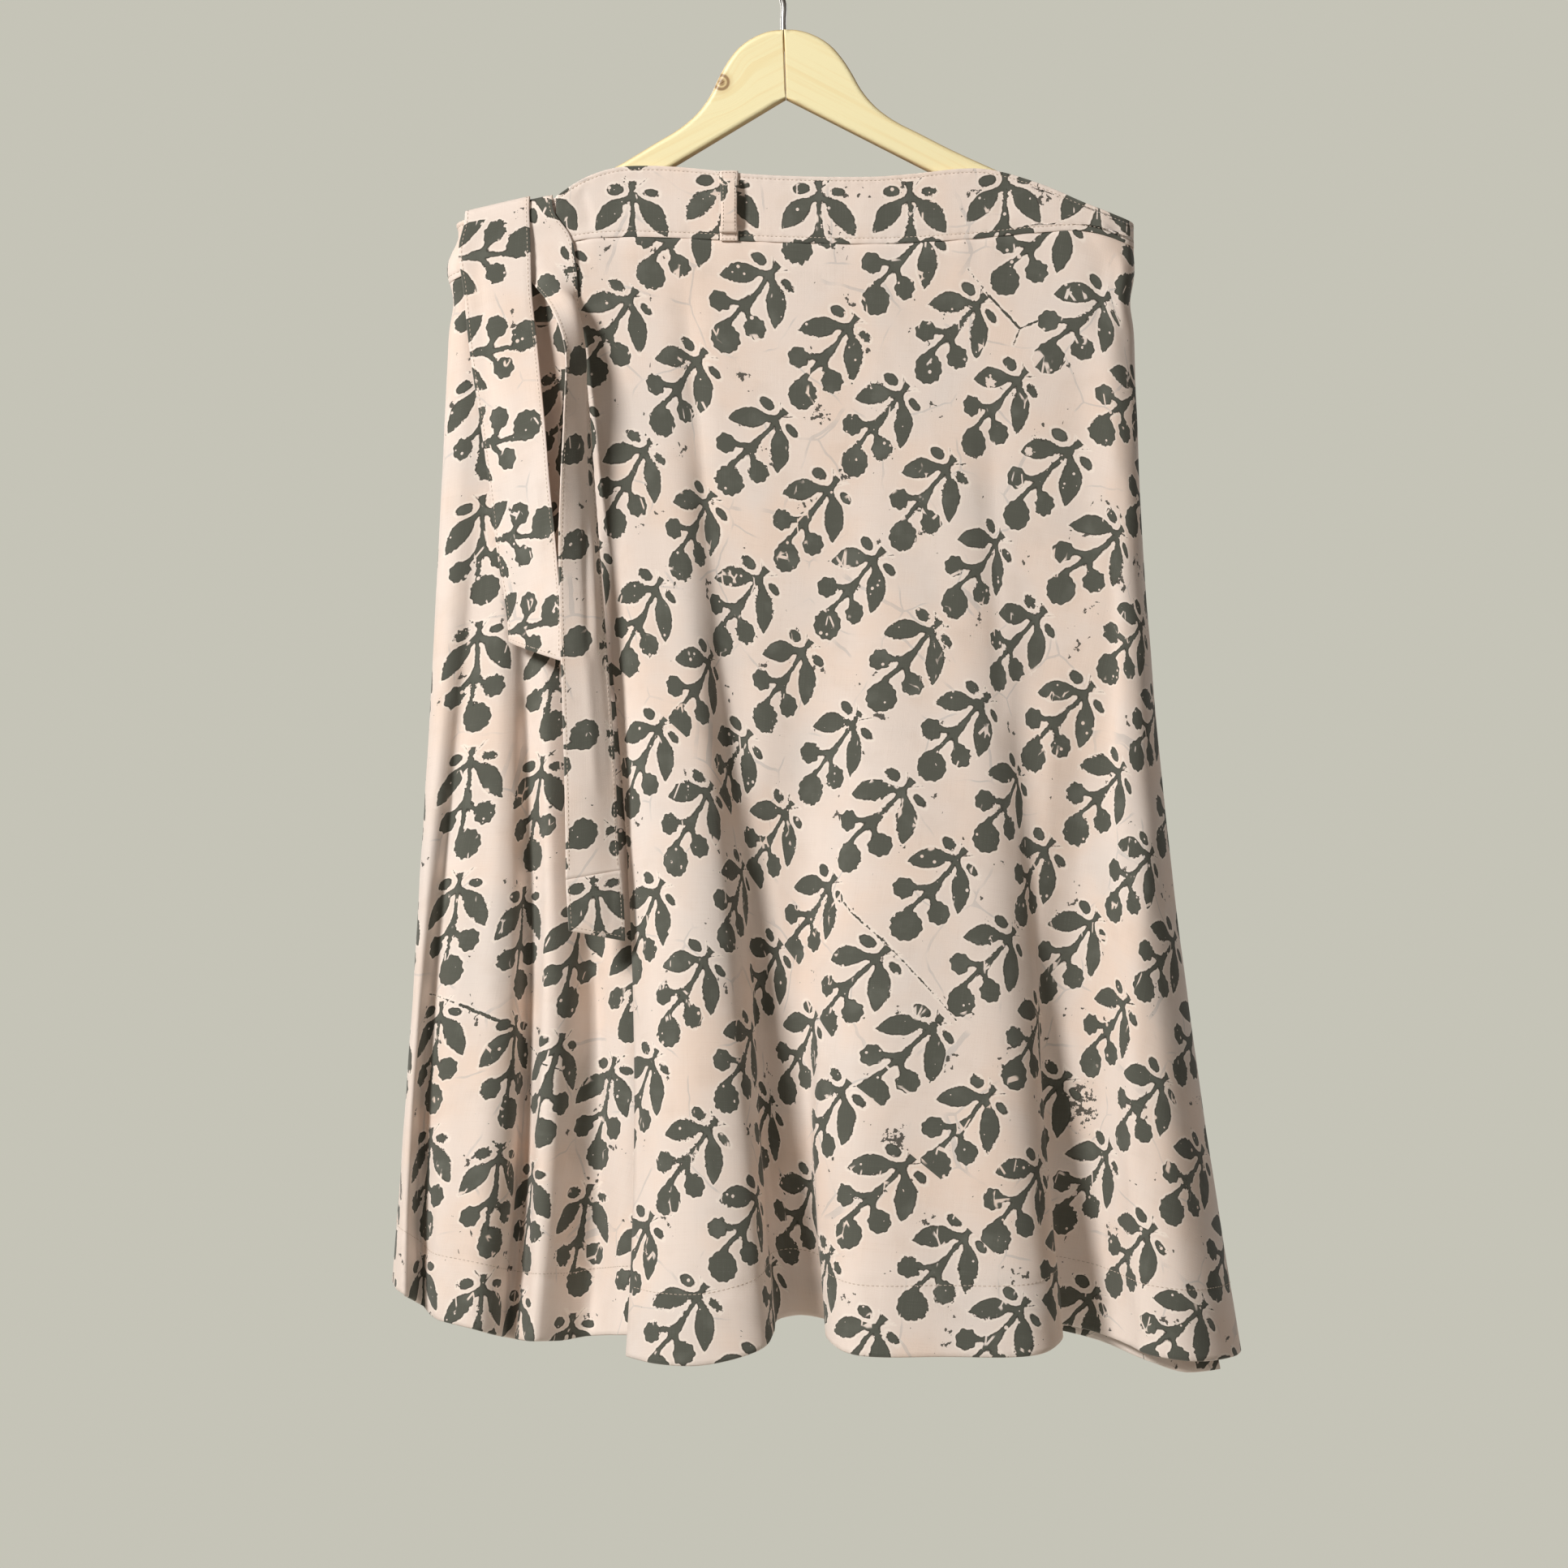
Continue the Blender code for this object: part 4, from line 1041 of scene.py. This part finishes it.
# ---------------- ties
# Two folded strips of the same cloth, stitched 1.7 mm inside their edges. Both come out over the
# waistband's top edge at the left. The short one ends in a slant. The long one turns its edge to
# the front just below the band, and near its end a piece of other cut is joined on.
BAND_CLOTH = 2.2          # the band's thickness, where the ties pass over it
TIE_CLOTH = 1.4           # room for one tie there
TIE_WALL = 1.25
TIE_STAND = 0.5           # from the band to the tie next to it
TIE_STITCH = 1.7          # from its long edges
END_STITCH = 2.4          # from its hemmed end
# Across: a line across a tie, its left and right end and how far its middle bows to the front.
Across = namedtuple("Across", "left right bow")
# Over: where a tie turns over the band's edge, how near to it, and how deep inside it starts.
Over = namedtuple("Over", "left right near inside")
Tie = namedtuple("Tie", "name node over rows layout creases hemmed")
SHORT_TIE = (
    Across((-212, -16.6, -217), (-165, -19.2, -214), 0),
    Across((-209, -16.8, -244), (-164, -22, -245), 1),
    Across((-205, -17.2, -284), (-160, -26, -284), 1),
    Across((-198, -17.6, -331), (-155, -33, -332), 2),
    Across((-192, -18.2, -375), (-151, -40, -377), 2),
    Across((-186, -19.0, -424), (-146, -45, -425), 2),
    Across((-180, -20.0, -463), (-143, -48, -465), 2),
    Across((-179, -20.0, -478), (-143, -49, -491), 2),
)
LONG_TIE = (
    Across((-192, -13.2, -201), (-150, -15.9, -192), 0),
    Across((-183, -13.8, -214), (-139, -16.8, -209), 0),
    Across((-165, -15.2, -238), (-134, -17.4, -239), 4),
    Across((-152, -33, -255), (-133, -18, -253), 9),
    Across((-140, -52, -284), (-130, -20, -280), 6),
    Across((-140, -55, -332), (-125, -22, -330), 4),
    Across((-142, -55, -372), (-122, -25, -370), 4),
    Across((-143.5, -53, -409), (-119, -29, -408), 4),
    Across((-143, -52, -462), (-115, -35, -460), 4),
    Across((-141.5, -52, -513), (-111, -38, -512), 3),
    Across((-140, -53, -563), (-107.5, -41, -563), 3),
    Across((-139, -54, -618), (-105, -44, -619), 2),
    Across((-139, -54, -633.7), (-104, -45, -627.7), 2),
)
LONG_TIE_END = (
    Across((-139, -54, -634.2), (-104, -45, -628.2), 2),
    Across((-138, -54.5, -652), (-102, -46, -650), 2),
    Across((-137, -55, -667), (-101, -47, -674), 1),
)
LONG_OVER = Over(-194, -151, BAND_CLOTH / 2 + TIE_STAND, 11.0)
SHORT_OVER = Over(-208, -166, LONG_OVER.near + TIE_CLOTH + 1.2, 2.5)


def over_the_edge(over):
    """The part of a tie that starts inside the band and turns over its top edge."""
    middle = -(INNER_REST[0] - BAND_CLOTH / 2)
    reach = over.near + TIE_CLOTH
    sides = [(x, band_edge(x, "top")) for x in (over.left, over.right)]
    rows = [[(x, middle + reach, top - down) for x, top in sides] for down in (over.inside, over.inside / 2)]
    for degrees in range(0, 181, 36):
        turn = math.radians(degrees)
        rows.append([(x, middle + reach * math.cos(turn), top + reach * math.sin(turn)) for x, top in sides])
    return rows


def tie_grid(over, rows):
    lines = []
    if over is not None:
        for left, right in over_the_edge(over):
            left, right = np.array(left), np.array(right)
            lines.append((left, (left + right) / 2, right))
    for row in rows:
        left, right = np.array(row.left, float), np.array(row.right, float)
        side = unit(right - left)
        front = unit(np.array((side[1], -side[0], 0)))
        lines.append((left, (left + right) / 2 + front * row.bow, right))
    columns = even_columns(curve_through(np.array(lines).transpose(1, 0, 2), 10), 2.0)
    return curve_through(columns.transpose(1, 0, 2), 14)


def line_where(outer, normals, place, wanted):
    """The seam across a grid's rows where their rising `place` has the wanted value."""
    seam = []
    for field in (outer, normals):
        seam.append(np.array([[np.interp(want, at, points[:, a]) for a in range(3)]
                              for want, at, points in zip(wanted, place, field)]))
    return seam


ties = (
    Tie("tie_short_cloth", "tie_short", SHORT_OVER, SHORT_TIE,
        Layout(-90, -342.5, -12.6, 61.8, 80, 4.0),
        creases((12, 30, 9, 170, 5, -0.8, 1.2), (30, 190, 26, 280, 5, -1.0, 1.2),
                (38, 200, 37, 262, 3, 0.8, 1.0), (20, 90, 24, 200, 7, 0.6, 1.0)), True),
    Tie("tie_long_cloth", "tie_long", LONG_OVER, LONG_TIE,
        Layout(-90, -419.6, 15, 61.8, 80, 8.0),
        creases((27, 230, 24, 330, 3.2, 1.3, 1.4), (21, 240, 18, 340, 3.0, -1.2, 1.0),
                (30, 150, 33, 240, 3.4, -1.0, 1.2), (20, 90, 22, 180, 3.2, 1.0, 0.9),
                (33, 300, 35, 420, 3.4, -0.9, 1.2), (16, 330, 20, 430, 4, 0.8, 1.0)), False),
    Tie("tie_long_end_cloth", "tie_long_end", None, LONG_TIE_END,
        Layout(-6, -47.8, -665.6, 61, 80, 6.0),
        creases((27, 5, 33, 40, 4, -1.6, 1.2), (34, 10, 30, 42, 3, 1.2, 1.0)), True),
)
tie_seams = []
for tie in ties:
    grid = tie_grid(tie.over, tie.rows)
    u, down = run_along(grid, 1), run_along(grid)
    end = down[-1:].mean() if tie.hemmed else down[-1:]
    level = down - end - grid[-1, grid.shape[1] // 2, 2]
    edge_in = np.minimum(u, u[:, -1:] - u)
    height = crease_height(u, down, tie.creases) + hand_ripple(u * 2, -level, len(tie.name), 0.35)
    height = height * np.clip(down / 60, 0, 1) * np.clip(edge_in / 4, 0, 1)
    height -= 0.28 * np.exp(-(((edge_in - TIE_STITCH) / 0.6) ** 2))
    height += 0.12 * np.exp(-((edge_in / 2.6) ** 2)) * np.sin(down / 1.6 + 1.3 * np.sin(down / 9.0))
    if tie.hemmed:
        height -= 0.28 * np.exp(-(((down[-1:] - down - END_STITCH) / 0.7) ** 2))
    out = outward(grid)
    outer = grid + out * height[..., None]
    inner = grid - out * TIE_WALL + out * height[..., None] * 0.6
    finish = printed_cotton(tie.name + "_print", tie.layout)
    piece = cloth_wall(tie.name, outer, inner, np.stack([u, -level], axis=-1), finish)
    settle(piece, "cotton", tie.node)
    size = (float(u[:, -1].mean() * MM), float(down[-1].mean() * MM))
    normals = outward(outer)
    kept = slice(2, -1)
    for wanted in (TIE_STITCH + 0 * u[kept, -1], u[kept, -1] - TIE_STITCH):
        tie_seams.append(line_where(outer[kept], normals[kept], u[kept], wanted))
    if tie.hemmed:
        turned = [part.swapaxes(0, 1)[1:-1] for part in (outer, normals, down - down[-1])]
        tie_seams.append(line_where(*turned, [-END_STITCH] * len(turned[0])))
sew("tie_stitches", tie_seams, 2.0, 2.9)


# ---------------- belt loop
# A narrow strip folded in three, sewn down at the band's top edge and at its lower edge. It stands
# off the band between them, a little narrower at the middle.
LOOP_WIDTH = 11.8
LOOP_WALL = 1.3
LOOP_X = -33.5
# Share of the way down, how far it stands off the rest plane, and its width there.
LOOP_PROFILE = (
    (0.0, 1.9, 1.0), (0.04, 1.95, 1.0), (0.10, 3.6, 0.97), (0.22, 6.2, 0.92), (0.40, 6.9, 0.88),
    (0.60, 6.9, 0.87), (0.78, 6.2, 0.90), (0.90, 3.6, 0.96), (0.96, 1.95, 1.0), (1.0, 1.9, 1.0),
)
loop_top = band_edge(LOOP_X, "top") + 0.2
loop_seam = band_edge(LOOP_X, "seam") - 1.3
loop_line = curve_through(np.array(LOOP_PROFILE), 6)
loop_across = np.linspace(-0.5, 0.5, 15)
loop_round = 0.5 * (1 - (2 * loop_across) ** 6)
loop_grid = []
for part, stand, narrow in loop_line:
    z = loop_top + part * (loop_seam - loop_top)
    loop_grid.append([(LOOP_X + s * LOOP_WIDTH * narrow, -OUTER_REST[0] - stand - bulge, z)
                      for s, bulge in zip(loop_across, loop_round)])
loop_grid = np.array(loop_grid)
loop_u = loop_grid[..., 0] - LOOP_X
loop_down = loop_line[:, :1] * (loop_top - loop_seam) + 0 * loop_u
loop_dent = 0.2 * np.exp(-(((np.abs(loop_u) - LOOP_WIDTH / 2 + 1.6) / 0.45) ** 2))
loop_outer = loop_grid - outward(loop_grid) * loop_dent[..., None]
loop_inner = loop_grid - outward(loop_grid) * LOOP_WALL
loop_cut = np.stack([loop_u, -loop_down], axis=-1)
loop_print = printed_cotton("belt_loop_print", Layout(-90, -14.6, 39.6, 61, 80, 2.0))
loop = cloth_wall("belt_loop_cloth", loop_outer, loop_inner, loop_cut, loop_print)
settle(loop, "cotton", "belt_loop")
loop_normals = outward(loop_outer)
loop_seams = [(loop_outer[2:-2, i], loop_normals[2:-2, i]) for i in (2, 12)]
loop_seams += [(loop_outer[j, 1:-1], loop_normals[j, 1:-1]) for j in (3, -4)]
sew("belt_loop_stitches", loop_seams, 1.7, 2.4)


# ---------------- room, light and camera
# A plain pale floor well below the hem, one strong lamp of moderate size at the left front, a weak
# large one at the front and two large ones behind, in even, slightly warm grey surroundings.
FLOOR = 1500.0            # half its width
paint = Finish("pale_floor")
paint.surface({"Base Color": (0.62, 0.61, 0.56), "Roughness": 0.9})
corners = [(x * FLOOR, y * FLOOR, -1450.0) for x, y in ((-1, -1), (1, -1), (1, 1), (-1, 1))]
make_piece("studio_floor", corners, [(0, 1, 2, 3)], paint.material)

Lamp = namedtuple("Lamp", "name at aim size power colour")
LAMPS = (
    Lamp("key", (-2.1, -2.2, 1.1), (0.05, 0, -0.5), 0.75, 121, (1.0, 0.99, 0.965)),
    Lamp("fill", (1.2, -3.0, -0.2), (0, 0, -0.6), 1.8, 7, (1.0, 0.96, 0.90)),
    Lamp("back_left", (-1.6, 2.3, 0.4), (0, 0, -0.6), 1.6, 34, (1.0, 0.98, 0.95)),
    Lamp("back_right", (2.2, 1.6, 0.0), (0, 0, -0.6), 1.6, 14, (0.97, 0.98, 1.0)),
)
for lamp in LAMPS:
    light = bpy.data.lights.new(lamp.name, "AREA")
    light.shape = "DISK"
    light.size = lamp.size
    light.energy = lamp.power
    light.color = lamp.colour
    held = show(bpy.data.objects.new(lamp.name, light))
    held.location = lamp.at
    held.rotation_euler = (Vector(lamp.aim) - Vector(lamp.at)).to_track_quat("-Z", "Y").to_euler()

LIT = (0.105, 0.088, 0.072, 1)          # the light that the surroundings give
SEEN = (0.56, 0.55, 0.475, 1)           # what shows of them behind the skirt
world = bpy.data.worlds.new("pale_grey")
world.use_nodes = True
air = world.node_tree
seen = air.nodes.new("ShaderNodeLightPath")
tint = air.nodes.new("ShaderNodeMix")
tint.data_type = "RGBA"
tint.inputs[6].default_value = LIT
tint.inputs[7].default_value = SEEN
air.links.new(seen.outputs["Is Camera Ray"], tint.inputs[0])
air.links.new(tint.outputs[2], air.nodes["Background"].inputs["Color"])
bpy.context.scene.world = world
bpy.context.scene.view_settings.view_transform = "Standard"

camera_data = bpy.data.cameras.new("camera")
camera_data.sensor_width = 36
camera_data.lens = 89.7
camera = show(bpy.data.objects.new("camera", camera_data))
camera.location = (0.0029, -2.6, -0.5717)
camera.rotation_euler = (math.radians(90), 0, 0)
bpy.context.scene.camera = camera
